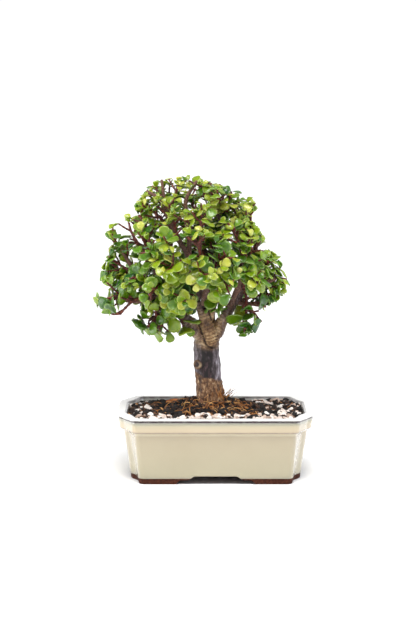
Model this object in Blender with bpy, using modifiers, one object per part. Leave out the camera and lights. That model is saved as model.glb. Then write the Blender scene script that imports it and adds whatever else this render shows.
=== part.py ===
"""Elephant bush bonsai: a small succulent tree in a glazed pot with indented corners.

Metres, +Z up, +Y away from the viewer. The origin is under the middle of the whole
object's box, on the surface that the pot's feet stand on. The crown leans to the left,
so the pot stands a little to the right of the origin.
"""

import math
import random

import bmesh
import bpy
from mathutils import Matrix, Vector, noise
from mathutils.bvhtree import BVHTree

MM = 0.001
GAP = 0.35 * MM  # what parts leave between them where they meet
WELD = 0.002 * MM

# Where the middle of the pot stands
POT_PLACE = Vector((16.9 * MM, 2.5 * MM, 0))

# Pot, outside: half sizes at the rim, and the indented corners
RIM_HALF_X = 100 * MM
RIM_HALF_Y = 75 * MM
NOTCH_X = 15 * MM
NOTCH_Y = 20 * MM
NOTCH_SLOPE = 0.4  # how much of its lean the narrow part of the wall lacks
CORNER_RADIUS = 4.5 * MM
HOLLOW_RADIUS = 5.5 * MM
ARC_STEPS = 2

# Pot, inside
FLOOR_UNDER = 9.4 * MM
FLOOR_TOP = 16 * MM
INNER_TOP = 68.5 * MM
INNER_TOP_INSET = 9.3 * MM
INNER_FLOOR_INSET = 19.5 * MM

# The pot's outer wall from the feet to the rim: height and inset from the rim's edge
OUTER_WALL = (
    (0.0, 15.2),
    (5.6, 14.8),
    (28.0, 11.4),
    (51.5, 7.6),
    (53.5, 6.4),
    (55.5, 3.4),
    (64.6, 2.2),
    (65.6, 2.6),
    (66.2, 0.4),
    (68.6, 0.0),
    (70.0, 1.3),
    (70.0, 7.6),
    (68.5, 9.3),
)

# The cut-outs between the feet: half width at each height
FRONT_ARCH = ((44.0, -1.0), (42.0, 0.0), (37.0, 4.4), (28.0, 4.4), (22.0, 8.7))
SIDE_ARCH = ((26.0, -1.5), (24.0, 0.0), (20.0, 4.4), (15.0, 4.4), (11.0, 8.3))
FOOT_RIM = 8.5 * MM

# Drain holes and the mesh squares that lie over them
DRAIN_X = 45 * MM
DRAIN_RADIUS = 8 * MM
SCREEN_SIDE = 24 * MM
SCREEN_CELLS = 3
SCREEN_STRAND = 1.0 * MM

# Soil
SOIL_EDGE = 65.6 * MM
MOUND_HEIGHT = 13.5 * MM
MOUND_REACH = 40 * MM
LUMP_HEIGHT = 1.6 * MM
LUMP_SPACING = 13 * MM
SOIL_RINGS = 4
INNER_RING = 0.7  # the innermost ring's radius as a share of the trunk's
SOIL_CHIPS = 22
SOIL_SEED = 7
CHIP_STRETCH = 1.3
CHIP_SINK = 0.3  # how deep a chip's middle lies, as a share of its size
WALL_ROOM = 7 * MM
BARK_PLACE = (-37 * MM, 17 * MM)
BARK_SIZE = 3.2 * MM
BARK_STRETCH = 5.0
BARK_TURN = -0.35
BARK_SINK = 0.7 * MM
BARK_REACHES = (-14 * MM, -7 * MM, 0, 7 * MM, 14 * MM)

# Trunk, as x, y, height and radius in millimetres from the middle of the pot
TRUNK = (
    (-6, 0, 48, 14.0),
    (-6, 0, 87, 14.0),
    (-7, 0, 100, 13.5),
    (-8.4, 0, 114, 14.1),
    (-9.3, 0, 126, 13.3),
    (-9.5, 0, 132, 13.7),
    (-9.5, 0, 135, 13.0),
    (-9.3, 0, 138, 13.8),
    (-9.0, 0, 141, 13.1),
    (-8.6, 0, 145, 13.8),
    (-8.2, 0, 153, 11.6),
    (-7.8, 0, 160, 7.5),
)
HOLE_SIDES = 24

# Limbs in the same way, from where each leaves the wood that carries it
LIMBS = {
    "left": ((-11, 0, 142, 9.5), (-19, -2, 152, 8.0), (-27, -4, 160, 6.3), (-33.5, -5.5, 167, 4.7)),
    "left_low": ((-29, -5, 163, 3.2), (-41, -9, 169, 2.8), (-58, -12, 168, 2.3), (-70, -14, 166, 1.9)),
    "middle": (
        (-8, -2, 149, 8.0),
        (-12, -5, 166.5, 5.0),
        (-17.4, -8, 180.4, 4.3),
        (-21.6, -10, 191, 3.7),
        (-27, -10, 210, 3.3),
        (-28, -8, 229, 3.0),
        (-35.4, -6, 242, 2.7),
        (-46, -5, 258, 2.3),
        (-52.3, -5, 284, 2.0),
        (-56, -5, 310, 1.6),
    ),
    "back": (
        (-6, 3, 151, 7.0),
        (-5, 10, 171, 4.6),
        (-3, 18, 193, 4.0),
        (-2, 22, 223, 3.4),
        (5, 20, 248, 2.9),
        (10, 15, 265, 2.4),
        (5, 12, 287, 1.9),
    ),
    "right": (
        (-1, 0, 148, 9.0),
        (6, -1, 160, 6.6),
        (13, -2, 171, 5.2),
        (20.6, -3, 184, 4.6),
        (29, -4, 196.5, 3.8),
        (33, -4, 210, 3.2),
        (28, -3, 231, 2.8),
        (31, -2, 255, 2.3),
        (33, -2, 275, 1.8),
    ),
    "right_out": ((29, -4, 195, 3.0), (43, -6, 198.5, 2.8), (54, -8, 203.5, 2.4), (63, -9, 207, 1.9)),
    "right_low": ((21, -3.5, 181, 2.4), (36, -8, 180.3, 1.9), (53, -12, 178, 1.5)),
    "far_left": (
        (-21, -9.5, 190, 3.5),
        (-45, -16, 199, 3.2),
        (-62, -18, 205, 3.0),
        (-76, -20, 211, 2.7),
        (-86, -20, 219.5, 2.4),
        (-93, -20, 231, 2.1),
        (-101, -20, 243, 1.7),
    ),
    "left_mid": ((-66, -18.5, 206.5, 2.4), (-82, -14, 210, 2.1), (-98, -12, 212, 1.6)),
    "left_droop": ((-45, -16, 199, 2.6), (-62, -24, 190, 2.3), (-80, -27, 185, 2.0), (-98, -28, 187, 1.6)),
    "left_up": ((-61, -17.5, 204.5, 2.7), (-65, -14, 228, 2.4), (-72, -12, 243, 2.1), (-78, -10, 259, 1.7)),
    "front": (
        (-14, -6, 173, 4.0),
        (-11, -24, 193, 3.2),
        (-9, -40, 209, 2.8),
        (-14, -51, 229, 2.3),
        (-18, -52, 249, 1.8),
    ),
    "front_right": ((14, -2, 173, 3.6), (20, -18, 192, 2.9), (26, -32, 209, 2.4), (30, -40, 229, 1.8)),
    "front_left": ((-33, -14, 194.5, 2.8), (-40, -34, 206, 2.4), (-48, -46, 221, 2.1), (-50, -46, 243, 1.7)),
    "back_left": ((-5, 11, 173, 4.0), (-25, 30, 200, 3.2), (-50, 41, 217, 2.6), (-67, 44, 239, 1.9)),
    "back_right": ((-3, 18, 192, 3.6), (15, 34, 208, 3.0), (35, 43, 224, 2.4), (46, 43, 243, 1.8)),
    "back_high": ((-2, 22, 217, 3.0), (-14, 38, 238, 2.5), (-20, 44, 261, 1.8)),
}

# Cut and healed knobs on the wood: x, y, height and radius in millimetres
KNOTS = (
    (-20.5, -6, 115, 4.2),
    (-33.5, -5.5, 166.5, 6.0),
    (4, -6, 144, 5.0),
    (-1, 12, 123, 4.0),
)

# Where each leafy spray ends: x, y and height in millimetres, and the size of its leaves
SPRAY_TIPS = (
    (-62, 8, 301, 0.9),
    (-38, 4, 306, 0.9),
    (-20, -10, 305, 0.9),
    (15, -6, 293, 1.0),
    (34, 6, 282, 1.0),
    (38, -16, 265, 1.0),
    (47, 2, 246, 1.0),
    (59, -8, 229, 1.05),
    (74, -6, 206, 1.05),
    (62, 6, 189, 1.0),
    (48, -17, 160, 1.05),
    (30, -12, 151, 1.05),
    (-75, -3, 286, 1.0),
    (-90, -6, 265, 1.0),
    (-112, -20, 254, 0.95),
    (-112, -14, 233, 1.0),
    (-115, -8, 210, 1.0),
    (-121, -30, 184, 1.0),
    (-100, -42, 171, 1.0),
    (-76, -18, 150, 1.0),
    (-33, -12, 155, 1.3),
    (-88, -46, 211, 1.05),
    (-72, -52, 241, 1.05),
    (-68, -58, 195, 1.05),
    (-46, -54, 265, 1.05),
    (-44, -70, 229, 1.05),
    (-38, -60, 191, 1.05),
    (-14, -46, 282, 1.05),
    (-18, -72, 253, 1.05),
    (-16, -76, 218, 1.05),
    (12, -42, 268, 1.05),
    (12, -68, 239, 1.05),
    (16, -66, 205, 1.05),
    (38, -44, 245, 1.05),
    (42, -50, 213, 1.05),
    (-92, 30, 241, 1.0),
    (-86, 40, 205, 1.0),
    (-58, 44, 269, 1.0),
    (-62, 62, 217, 1.0),
    (-28, 50, 289, 1.0),
    (-30, 72, 229, 1.0),
    (4, 48, 283, 1.0),
    (4, 72, 208, 1.0),
    (8, 68, 247, 1.0),
    (34, 50, 265, 1.0),
    (52, 56, 229, 1.0),
    (44, 46, 193, 1.0),
)
CROWN_MIDDLE = Vector((-24, 0, 208))
CROWN_HALF = Vector((105, 85, 108))
SPRAY_SEED = 41

# Sprays
REACH = 46  # millimetres from the wood that carries a spray to its tip, where there is a choice
THICKEST_CARRIER = 4.2
TURN_COST = 16  # millimetres of reach that a branch straight back against the limb's growth is worth
SPRAY_LENGTH = 44
SEAT_RADIUS = 1.6
SEAT_GAP = 0.45
STEM_RADIUS = 1.45
STEM_POINTS = 5
TIP_RADIUS = 1.0
STEM_CLEARANCE = 0.7
BOWS = 12  # ways to arch that are tried for each spray
SEATS_TRIED = 4
SEAT_SHIFT = 3.5

# Leaves
FIRST_LEAVES = 5  # the bare foot of each stem
NODE_SPACING = 8.8
TIP_BARE = 0.8
MOST_PAIRS = 5
LEAF_LENGTH = 16.5
LEAF_WIDTH = 0.9
LEAF_THICKNESS = 2.2
ROOT_DEPTH = 0.3  # how far past the stem's middle a leaf's root reaches
LEAF_POINTS = 7
LEAF_CLEARANCE = 0.45


def clear_scene():
    for obj in list(bpy.data.objects):
        bpy.data.objects.remove(obj, do_unlink=True)


def new_collection(name):
    collection = bpy.data.collections.new(name)
    bpy.context.scene.collection.children.link(collection)
    return collection


def new_material(name, colour, roughness, metallic=0.0):
    material = bpy.data.materials.new(name)
    material.use_nodes = True
    shader = material.node_tree.nodes["Principled BSDF"]
    shader.inputs["Base Color"].default_value = (*colour, 1)
    shader.inputs["Roughness"].default_value = roughness
    shader.inputs["Metallic"].default_value = metallic
    return material


def glaze_material():
    return new_material("cream_glaze", (0.68, 0.60, 0.41), 0.2)


def soil_material():
    return new_material("potting_mix", (0.045, 0.035, 0.028), 0.95)


def bark_material():
    return new_material("bark", (0.16, 0.11, 0.09), 0.8)


def leaf_material():
    return new_material("leaf", (0.16, 0.33, 0.05), 0.4)


def screen_material():
    return new_material("drain_mesh", (0.02, 0.02, 0.02), 0.6)


def mesh_object(name, mesh_data, collection, material=None):
    obj = bpy.data.objects.new(name, mesh_data)
    collection.objects.link(obj)
    if material:
        mesh_data.materials.clear()
        mesh_data.materials.append(material)
    return obj


def hide_as_helper(obj):
    obj.hide_render = True
    obj.display_type = "WIRE"


def finish_bmesh(bm, name):
    bmesh.ops.recalc_face_normals(bm, faces=bm.faces)
    if bm.calc_volume(signed=True) < 0:
        bmesh.ops.reverse_faces(bm, faces=bm.faces)
    data = bpy.data.meshes.new(name)
    bm.to_mesh(data)
    bm.free()
    return data


def evaluated_mesh(obj):
    """The object's mesh with its modifiers applied, or a curve's tube with its caps welded."""
    graph = bpy.context.evaluated_depsgraph_get()
    data = bpy.data.meshes.new_from_object(obj.evaluated_get(graph))
    bm = bmesh.new()
    bm.from_mesh(data)
    bmesh.ops.remove_doubles(bm, verts=bm.verts, dist=WELD)
    bm.to_mesh(data)
    bm.free()
    return data


def boolean(obj, operation, other, solver="EXACT"):
    """Joins or cuts obj with an object or with all of a collection, and applies the result."""
    modifier = obj.modifiers.new(operation.lower(), "BOOLEAN")
    modifier.operation = operation
    modifier.solver = solver
    if isinstance(other, bpy.types.Collection):
        modifier.operand_type = "COLLECTION"
        modifier.collection = other
    else:
        modifier.object = other
    result = evaluated_mesh(obj)
    obj.modifiers.clear()
    obj.data = result


def joined_verts(start):
    """All the points that edges join to one point, itself included."""
    found = {start}
    waiting = [start]
    while waiting:
        vert = waiting.pop()
        for edge in vert.link_edges:
            other = edge.other_vert(vert)
            if other not in found:
                found.add(other)
                waiting.append(other)
    return found


def drop_scraps(obj):
    """Keeps the largest connected piece of a joined mesh."""
    bm = bmesh.new()
    bm.from_mesh(obj.data)
    left = set(bm.verts)
    pieces = []
    while left:
        piece = joined_verts(next(iter(left)))
        pieces.append(piece)
        left -= piece
    pieces.sort(key=len)
    for piece in pieces[:-1]:
        bmesh.ops.delete(bm, geom=list(piece), context="VERTS")
    bm.to_mesh(obj.data)
    bm.free()


def remove_all(collection):
    for obj in list(collection.objects):
        bpy.data.objects.remove(obj, do_unlink=True)


def shade(obj, degrees=35):
    obj.data.shade_smooth()
    obj.data.set_sharp_from_angle(angle=math.radians(degrees))


# The pot


def arc(centre_x, centre_y, radius, first, last):
    """Points round part of a circle, with both ends, the angles in degrees."""
    points = []
    for step in range(ARC_STEPS + 1):
        angle = math.radians(first + (last - first) * step / ARC_STEPS)
        points.append((centre_x + radius * math.cos(angle), centre_y + radius * math.sin(angle)))
    return points


def pot_outline(inset, grow=0.0):
    """The plan of the pot at an inset from the rim's edge, anticlockwise from +X.

    The ears at the ends lean in with the wall, and the long front and back faces lean less.
    """
    half_x = RIM_HALF_X - inset + grow
    half_y = RIM_HALF_Y - inset + grow
    notch_x = NOTCH_X - NOTCH_SLOPE * inset
    notch_y = NOTCH_Y - 0.5 * NOTCH_SLOPE * inset
    inner_x = half_x - notch_x
    inner_y = half_y - notch_y
    corner = min(CORNER_RADIUS, 0.42 * notch_x)
    hollow = min(HOLLOW_RADIUS, 0.5 * notch_x)
    quarter = arc(half_x - corner, inner_y - corner, corner, 0, 90)
    quarter += arc(inner_x + hollow, inner_y + hollow, hollow, 270, 180)
    quarter += arc(inner_x - corner, half_y - corner, corner, 0, 90)
    mirrored = [(-x, y) for x, y in reversed(quarter)]
    upper = quarter + mirrored
    return upper + [(-x, -y) for x, y in upper]


def skin(rings, name):
    """A closed solid through rings of as many points each, capped at both ends."""
    bm = bmesh.new()
    rows = [[bm.verts.new(point) for point in ring] for ring in rings]
    count = len(rings[0])
    for lower, upper in zip(rows, rows[1:]):
        for i in range(count):
            j = (i + 1) % count
            bm.faces.new((lower[i], lower[j], upper[j], upper[i]))
    bm.faces.new(list(reversed(rows[0])))
    bm.faces.new(rows[-1])
    bmesh.ops.triangulate(bm, faces=bm.faces)
    return finish_bmesh(bm, name)


def raised(outline, height):
    return [POT_PLACE + Vector((x, y, height)) for x, y in outline]


def inner_inset(height):
    """How far the pot's inner wall lies in from the rim's edge at a height."""
    share = (INNER_TOP - height) / (INNER_TOP - FLOOR_TOP)
    return INNER_TOP_INSET + share * (INNER_FLOOR_INSET - INNER_TOP_INSET)


def arch_cutter(name, profile, turned, collection):
    """A bar with the cut-out's profile that runs right through under the pot."""
    right = [(half * MM, height * MM) for half, height in profile]
    outline = right + [(-x, z) for x, z in reversed(right)]
    reach = 130 * MM
    rings = []
    for end in (-reach, reach):
        ring = [Vector((x, end, z)) for x, z in outline]
        if turned:
            ring = [Vector((p.y, p.x, p.z)) for p in ring]
        rings.append([POT_PLACE + p for p in ring])
    cutter = mesh_object(name, skin(rings, name), collection)
    hide_as_helper(cutter)
    return cutter


def cylinder(name, place, radius, bottom, top, sides, collection):
    bm = bmesh.new()
    bmesh.ops.create_cone(
        bm,
        cap_ends=True,
        segments=sides,
        radius1=radius,
        radius2=radius,
        depth=top - bottom,
        matrix=Matrix.Translation((place[0], place[1], (top + bottom) / 2)),
    )
    obj = mesh_object(name, finish_bmesh(bm, name), collection)
    hide_as_helper(obj)
    return obj


def drain_places():
    return [POT_PLACE + Vector((side * DRAIN_X, 0, 0)) for side in (-1, 1)]


def make_pot(parts, cutters):
    rings = [raised(pot_outline(inset * MM), z * MM) for z, inset in OUTER_WALL]
    rings.append(raised(pot_outline(INNER_FLOOR_INSET), FLOOR_TOP))
    pot = mesh_object("pot", skin(rings, "pot"), parts)
    recess_inset = OUTER_WALL[1][1] * MM + FOOT_RIM
    recess = [raised(pot_outline(recess_inset), z) for z in (-1 * MM, FLOOR_UNDER)]
    under = mesh_object("under_recess", skin(recess, "under_recess"), cutters)
    hide_as_helper(under)
    arch_cutter("front_arch", FRONT_ARCH, False, cutters)
    arch_cutter("side_arch", SIDE_ARCH, True, cutters)
    for number, place in enumerate(drain_places(), 1):
        cylinder(f"drain_hole_{number}", place, DRAIN_RADIUS, 0, FLOOR_TOP + MM, 16, cutters)
    for cutter in list(cutters.objects):
        boolean(pot, "DIFFERENCE", cutter)
    pot.data.materials.clear()
    pot.data.materials.append(glaze_material())
    shade(pot)
    remove_all(cutters)


def make_screens(parts):
    """A square of plastic mesh on the pot's floor over each drain hole."""
    material = screen_material()
    for number, place in enumerate(drain_places(), 1):
        bm = bmesh.new()
        bmesh.ops.create_grid(bm, x_segments=SCREEN_CELLS, y_segments=SCREEN_CELLS, size=SCREEN_SIDE / 2)
        height = FLOOR_TOP + GAP + SCREEN_STRAND / 2
        bmesh.ops.translate(bm, verts=bm.verts, vec=place + Vector((0, 0, height)))
        data = finish_bmesh(bm, "screen")
        screen = mesh_object(f"drain_mesh_{number}", data, parts, material)
        wire = screen.modifiers.new("strands", "WIREFRAME")
        wire.thickness = SCREEN_STRAND
        wire.use_even_offset = False
        wire.use_boundary = True


# The soil


def mound(x, y):
    """The soil's height over its edge, highest round the trunk."""
    away = math.hypot(x - TRUNK[0][0] * MM, 1.3 * (y - TRUNK[0][1] * MM))
    return MOUND_HEIGHT * math.exp(-((away / MOUND_REACH) ** 2))


def soil_surface(x, y):
    lumps = noise.noise(Vector((x, y, 0)) / LUMP_SPACING)
    return SOIL_EDGE + mound(x, y) + LUMP_HEIGHT * lumps


def soil_body():
    rings = [raised(pot_outline(inner_inset(z) + GAP), z) for z in (FLOOR_TOP + GAP, SOIL_EDGE)]
    trunk_x, trunk_y, _, trunk_radius = (value * MM for value in TRUNK[0])
    for step in range(1, SOIL_RINGS + 1):
        share = step / SOIL_RINGS
        ring = []
        for x, y in pot_outline(inner_inset(SOIL_EDGE) + GAP):
            angle = math.atan2(y - trunk_y, x - trunk_x)
            in_x = trunk_x + INNER_RING * trunk_radius * math.cos(angle)
            in_y = trunk_y + INNER_RING * trunk_radius * math.sin(angle)
            place_x = x + (in_x - x) * share
            place_y = y + (in_y - y) * share
            ring.append(POT_PLACE + Vector((place_x, place_y, soil_surface(place_x, place_y))))
        rings.append(ring)
    return skin(rings, "soil")


def chip(name, place, size, turn, stretch, collection):
    """One rough lump of pumice or bark."""
    bm = bmesh.new()
    bmesh.ops.create_icosphere(bm, subdivisions=1, radius=1)
    shape = Matrix.Diagonal((size * stretch, size, size * 0.8, 1))
    bmesh.ops.transform(bm, matrix=Matrix.Translation(place) @ turn @ shape, verts=bm.verts)
    return mesh_object(name, finish_bmesh(bm, name), collection)


def chip_places(rng):
    """Seeded places on the soil, clear of the wall, of the trunk and of each other."""
    chosen = []
    trunk_place = (TRUNK[0][0] * MM, TRUNK[0][1] * MM, TRUNK[0][3] * MM)
    slope = math.tan(BARK_TURN)
    long_bark = [(BARK_PLACE[0] + reach, BARK_PLACE[1] + slope * reach, BARK_SIZE) for reach in BARK_REACHES]
    limit_x = RIM_HALF_X - inner_inset(SOIL_EDGE) - WALL_ROOM
    limit_y = RIM_HALF_Y - inner_inset(SOIL_EDGE) - WALL_ROOM
    while len(chosen) < SOIL_CHIPS:
        x = rng.uniform(-limit_x, limit_x)
        y = rng.uniform(-limit_y, limit_y)
        size = rng.uniform(3.0, 4.6) * MM
        in_corner = abs(x) > limit_x - NOTCH_X and abs(y) > limit_y - NOTCH_Y
        room = CHIP_STRETCH * size + MM
        taken = chosen + long_bark + [trunk_place]
        crowded = any(math.hypot(x - a, y - b) < room + CHIP_STRETCH * other for a, b, other in taken)
        if not (in_corner or crowded):
            chosen.append((x, y, size))
    return chosen


def make_soil(parts, cutters):
    rng = random.Random(SOIL_SEED)
    soil = mesh_object("soil", soil_body(), parts)
    for number, (x, y, size) in enumerate(chip_places(rng)):
        place = POT_PLACE + Vector((x, y, soil_surface(x, y) - CHIP_SINK * size))
        turn = Matrix.Rotation(rng.uniform(0, math.tau), 4, "Z")
        turn = turn @ Matrix.Rotation(rng.uniform(-0.6, 0.6), 4, "X")
        chip(f"chip_{number}", place, size, turn, rng.uniform(1.0, CHIP_STRETCH), cutters)
    bark_place = POT_PLACE + Vector((*BARK_PLACE, soil_surface(*BARK_PLACE) - BARK_SINK))
    chip("bark_piece", bark_place, BARK_SIZE, Matrix.Rotation(BARK_TURN, 4, "Z"), BARK_STRETCH, cutters)
    boolean(soil, "UNION", cutters, "MANIFOLD")
    remove_all(cutters)
    hole_radius = (TRUNK[0][3] * MM + GAP) / math.cos(math.pi / HOLE_SIDES)
    trunk_foot = POT_PLACE + Vector((TRUNK[0][0] * MM, TRUNK[0][1] * MM, 0))
    cylinder("trunk_hole", trunk_foot, hole_radius, TRUNK[0][2] * MM - GAP, 0.1, HOLE_SIDES, cutters)
    for place in drain_places():
        bm = bmesh.new()
        bmesh.ops.create_cube(bm, size=1)
        side = SCREEN_SIDE + SCREEN_STRAND + 2 * GAP
        height = 2 * (SCREEN_STRAND + 2 * GAP)
        shape = Matrix.Diagonal((side, side, height, 1))
        at_floor = Matrix.Translation(place + Vector((0, 0, FLOOR_TOP)))
        bmesh.ops.transform(bm, matrix=at_floor @ shape, verts=bm.verts)
        hide_as_helper(mesh_object("screen_room", finish_bmesh(bm, "screen_room"), cutters))
    boolean(soil, "DIFFERENCE", cutters)
    remove_all(cutters)
    soil.data.materials.clear()
    soil.data.materials.append(soil_material())
    shade(soil, 25)


# Paths of the wood, in millimetres from the middle of the pot


def path_lengths(points):
    lengths = [0.0]
    for a, b in zip(points, points[1:]):
        lengths.append(lengths[-1] + (b - a).length)
    return lengths


def path_at(points, distance):
    """The place and the direction at a distance along a path."""
    lengths = path_lengths(points)
    for i in range(len(points) - 1):
        if distance <= lengths[i + 1] or i == len(points) - 2:
            span = lengths[i + 1] - lengths[i]
            share = min(max((distance - lengths[i]) / span, 0), 1)
            return points[i].lerp(points[i + 1], share), (points[i + 1] - points[i]).normalized()


def sub_path(points, first, last, count):
    return [path_at(points, first + (last - first) * i / (count - 1))[0] for i in range(count)]


def limb_samples():
    """Points about 3 mm apart along every limb: place, direction and radius."""
    samples = []
    for limb in LIMBS.values():
        for first, second in zip(limb, limb[1:]):
            a, b = Vector(first[:3]), Vector(second[:3])
            steps = max(int((b - a).length / 3), 1)
            for i in range(steps):
                share = i / steps
                radius = first[3] + (second[3] - first[3]) * share
                samples.append((a.lerp(b, share), (b - a).normalized(), radius))
    return samples


def root_of(tip, samples):
    """The point of the limbs that a spray ending at tip grows from."""
    best = None
    for place, direction, radius in samples:
        way = tip - place
        if radius > THICKEST_CARRIER:
            continue
        turn = 1 - way.normalized().dot(direction)
        cost = abs(way.length - REACH) + TURN_COST * turn
        if best is None or cost < best[0]:
            best = (cost, place, direction, radius)
    return best[1:]


def bent_path(root, tip, direction, bow):
    """An arched way from the limb to the tip that starts out along the limb's growth."""
    way = tip - root
    length = way.length
    lift = 0.16 * length if way.z > -5 else 0.34 * length
    middle = root + way * 0.45 + Vector((0, 0, lift)) + direction * 0.12 * length + bow
    points = []
    for i in range(25):
        t = i / 24
        points.append(root * (1 - t) ** 2 + middle * 2 * t * (1 - t) + tip * t**2)
    return points


def too_near(points, radius, obstacles):
    for place, other in obstacles:
        limit = (radius + other + STEM_CLEARANCE) ** 2
        for point in points:
            if (point - place).length_squared < limit:
                return True
    return False


def outward_at(place):
    away = place - CROWN_MIDDLE
    scaled = Vector(away[i] / CROWN_HALF[i] ** 2 for i in range(3))
    return scaled.normalized()


# Sprays: stems, twigs and leaves as places and directions, in millimetres


def leaf_plan(base, stem_way, side, tilt, length, outward):
    """One leaf: it leaves the stem towards side, and turns its face to the light."""
    along = (stem_way * math.cos(tilt) + side * math.sin(tilt)).normalized()
    inner_face = stem_way * math.sin(tilt) - side * math.cos(tilt)
    face = inner_face * 0.5 + outward * 0.75 + Vector((0, 0, 0.35))
    face = (face - along * face.dot(along)).normalized()
    return {"base": base, "along": along, "face": face, "length": length, "stem": stem_way}


def leaf_pair(rng, base, stem_way, side, length, outward):
    pair = []
    for sign in (-1, 1):
        tilt = math.radians(rng.uniform(52, 78))
        size = length * rng.uniform(0.9, 1.1)
        pair.append(leaf_plan(base - side * sign * ROOT_DEPTH, stem_way, side * sign, tilt, size, outward))
    return pair


def stem_leaves(rng, stem, length, outward, leaf_size):
    """Opposite pairs from the tip down, each pair a quarter turn round from the last."""
    leaves = []
    distance = length - TIP_BARE
    node = 0
    while distance > FIRST_LEAVES and node < MOST_PAIRS:
        base, way = path_at(stem, distance)
        across = way.cross(outward).normalized()
        radial = across.cross(way).normalized()
        angle = math.radians(45 + 90 * node + rng.uniform(-12, 12))
        side = across * math.cos(angle) + radial * math.sin(angle)
        grown = leaf_size * (0.85 if node == 0 else 1.0)
        leaves += leaf_pair(rng, base, way, side, grown, outward)
        distance -= NODE_SPACING * rng.uniform(0.92, 1.08)
        node += 1
    return leaves


def plan_spray(number, tip, size, samples, wood, stems):
    """Everything that one spray is made of, kept clear of the wood and of the other stems."""
    rng = random.Random(SPRAY_SEED + number)
    root, direction, limb_radius = root_of(tip, samples)
    way = (tip - root).normalized()
    across = way.cross(direction + Vector((0.01, 0.02, 0.03))).normalized()
    upward = across.cross(way)
    for attempt in range(BOWS * SEATS_TRIED):
        turns, shifts = divmod(attempt, SEATS_TRIED)
        angle = math.radians(75 * turns)
        bow = (across * math.cos(angle) + upward * math.sin(angle)) * 1.6 * turns
        path = bent_path(root, tip, direction, bow)
        total = path_lengths(path)[-1]
        seat = max(limb_radius + SEAT_SHIFT, total - SPRAY_LENGTH) + SEAT_SHIFT * shifts
        branch = sub_path(path, 0, seat, 7)
        stem = sub_path(path, seat + SEAT_GAP, total, STEM_POINTS)
        along_stem = sub_path(stem, 0, path_lengths(stem)[-1], 12)
        crosses = too_near(branch[1:], SEAT_RADIUS, stems) or too_near(along_stem, STEM_RADIUS, wood + stems)
        if not crosses:
            break
    else:
        print(f"spray {number} still lies near other wood")
    leaves = stem_leaves(rng, stem, path_lengths(stem)[-1], outward_at(tip), LEAF_LENGTH * size)
    return {"branch": branch, "stem": stem, "leaves": leaves, "limb_radius": limb_radius}


def plan_sprays():
    samples = limb_samples()
    wood = [(place, radius) for place, direction, radius in samples]
    stems = []
    sprays = []
    for number, (x, y, z, size) in enumerate(SPRAY_TIPS, 1):
        spray = plan_spray(number, Vector((x, y, z)), size, samples, wood, stems)
        wood = wood + [(point, SEAT_RADIUS) for point in spray["branch"]]
        along_stem = sub_path(spray["stem"], 0, path_lengths(spray["stem"])[-1], 14)
        stems = stems + [(point, STEM_RADIUS) for point in along_stem]
        sprays.append(spray)
    return sprays


# Solids of the wood and the leaves


def to_world(point):
    return POT_PLACE + Vector(point) * MM


def tube(name, points, radii, resolution, collection):
    """A round tapered stem through points given in millimetres, as a closed mesh."""
    curve = bpy.data.curves.new(name, "CURVE")
    curve.dimensions = "3D"
    curve.bevel_depth = MM
    curve.bevel_resolution = resolution
    curve.use_fill_caps = True
    spline = curve.splines.new("POLY")
    spline.points.add(len(points) - 1)
    for knot, point, radius in zip(spline.points, points, radii):
        knot.co = (*to_world(point), 1)
        knot.radius = radius
    guide = bpy.data.objects.new(name, curve)
    collection.objects.link(guide)
    bpy.context.view_layer.update()
    data = evaluated_mesh(guide)
    bpy.data.objects.remove(guide, do_unlink=True)
    bpy.data.curves.remove(curve)
    return mesh_object(name, data, collection)


def tapered(count, first, last):
    return [first + (last - first) * i / (count - 1) for i in range(count)]


def make_trunk(parts, helpers, sprays):
    trunk_points = [Vector(point[:3]) for point in TRUNK]
    trunk = tube("trunk", trunk_points, [point[3] for point in TRUNK], 4, parts)
    for name, limb in LIMBS.items():
        points = [Vector(point[:3]) for point in limb]
        resolution = 2 if limb[0][3] > 5 else 1
        tube(name, points, [point[3] for point in limb], resolution, helpers)
    for number, (x, y, z, radius) in enumerate(KNOTS):
        knot_turn = Matrix.Rotation(0.3 * number, 4, "Y")
        chip(f"knot_{number}", to_world((x, y, z)), radius * MM, knot_turn, 1.0, helpers)
    for number, spray in enumerate(sprays):
        branch = spray["branch"]
        first = min(0.7 * spray["limb_radius"], 2.3)
        bend = 4 if (branch[6] - branch[0]).length > 14 else 5
        picked = [branch[0], branch[bend], branch[6]]
        tube(f"branch_{number}", picked, tapered(len(picked), first, SEAT_RADIUS), 0, helpers)
    boolean(trunk, "UNION", helpers, "MANIFOLD")
    remove_all(helpers)
    trunk.data.materials.clear()
    trunk.data.materials.append(bark_material())
    shade(trunk, 50)


def leaf_bmesh(leaf, grow=0.0, first=0.0):
    """A fleshy rounded blade, narrow at its root and widest past its middle."""
    bm = bmesh.new()
    bmesh.ops.create_uvsphere(bm, u_segments=LEAF_POINTS, v_segments=2, radius=1)
    along, face = leaf["along"], leaf["face"]
    across = face.cross(along)
    length = leaf["length"]
    for vert in bm.verts:
        x, y, z = vert.co
        on_rim = abs(z) < 0.5
        share = (1 - y) / 2 if on_rim else 0.5
        reach = first * length + share * (length * (1 - first) + grow)
        half_width = 0.5 * LEAF_WIDTH * length * (0.52 + 0.62 * share) / 0.86 + grow
        sideways = x * half_width if on_rim else 0
        droop = -0.1 * length * share**2
        lift = 0 if on_rim else math.copysign(LEAF_THICKNESS / 2 + grow, z)
        place = leaf["base"] + along * reach + across * sideways + face * (lift + droop)
        vert.co = to_world(place)
    bmesh.ops.recalc_face_normals(bm, faces=bm.faces)
    return bm


def tree_of(bm):
    tree = BVHTree.FromBMesh(bm)
    bm.free()
    return tree


def turned_leaf(leaf, angle):
    turn = Matrix.Rotation(math.radians(angle), 3, leaf["stem"])
    changed = dict(leaf)
    changed["along"] = turn @ leaf["along"]
    changed["face"] = turn @ leaf["face"]
    return changed


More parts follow.
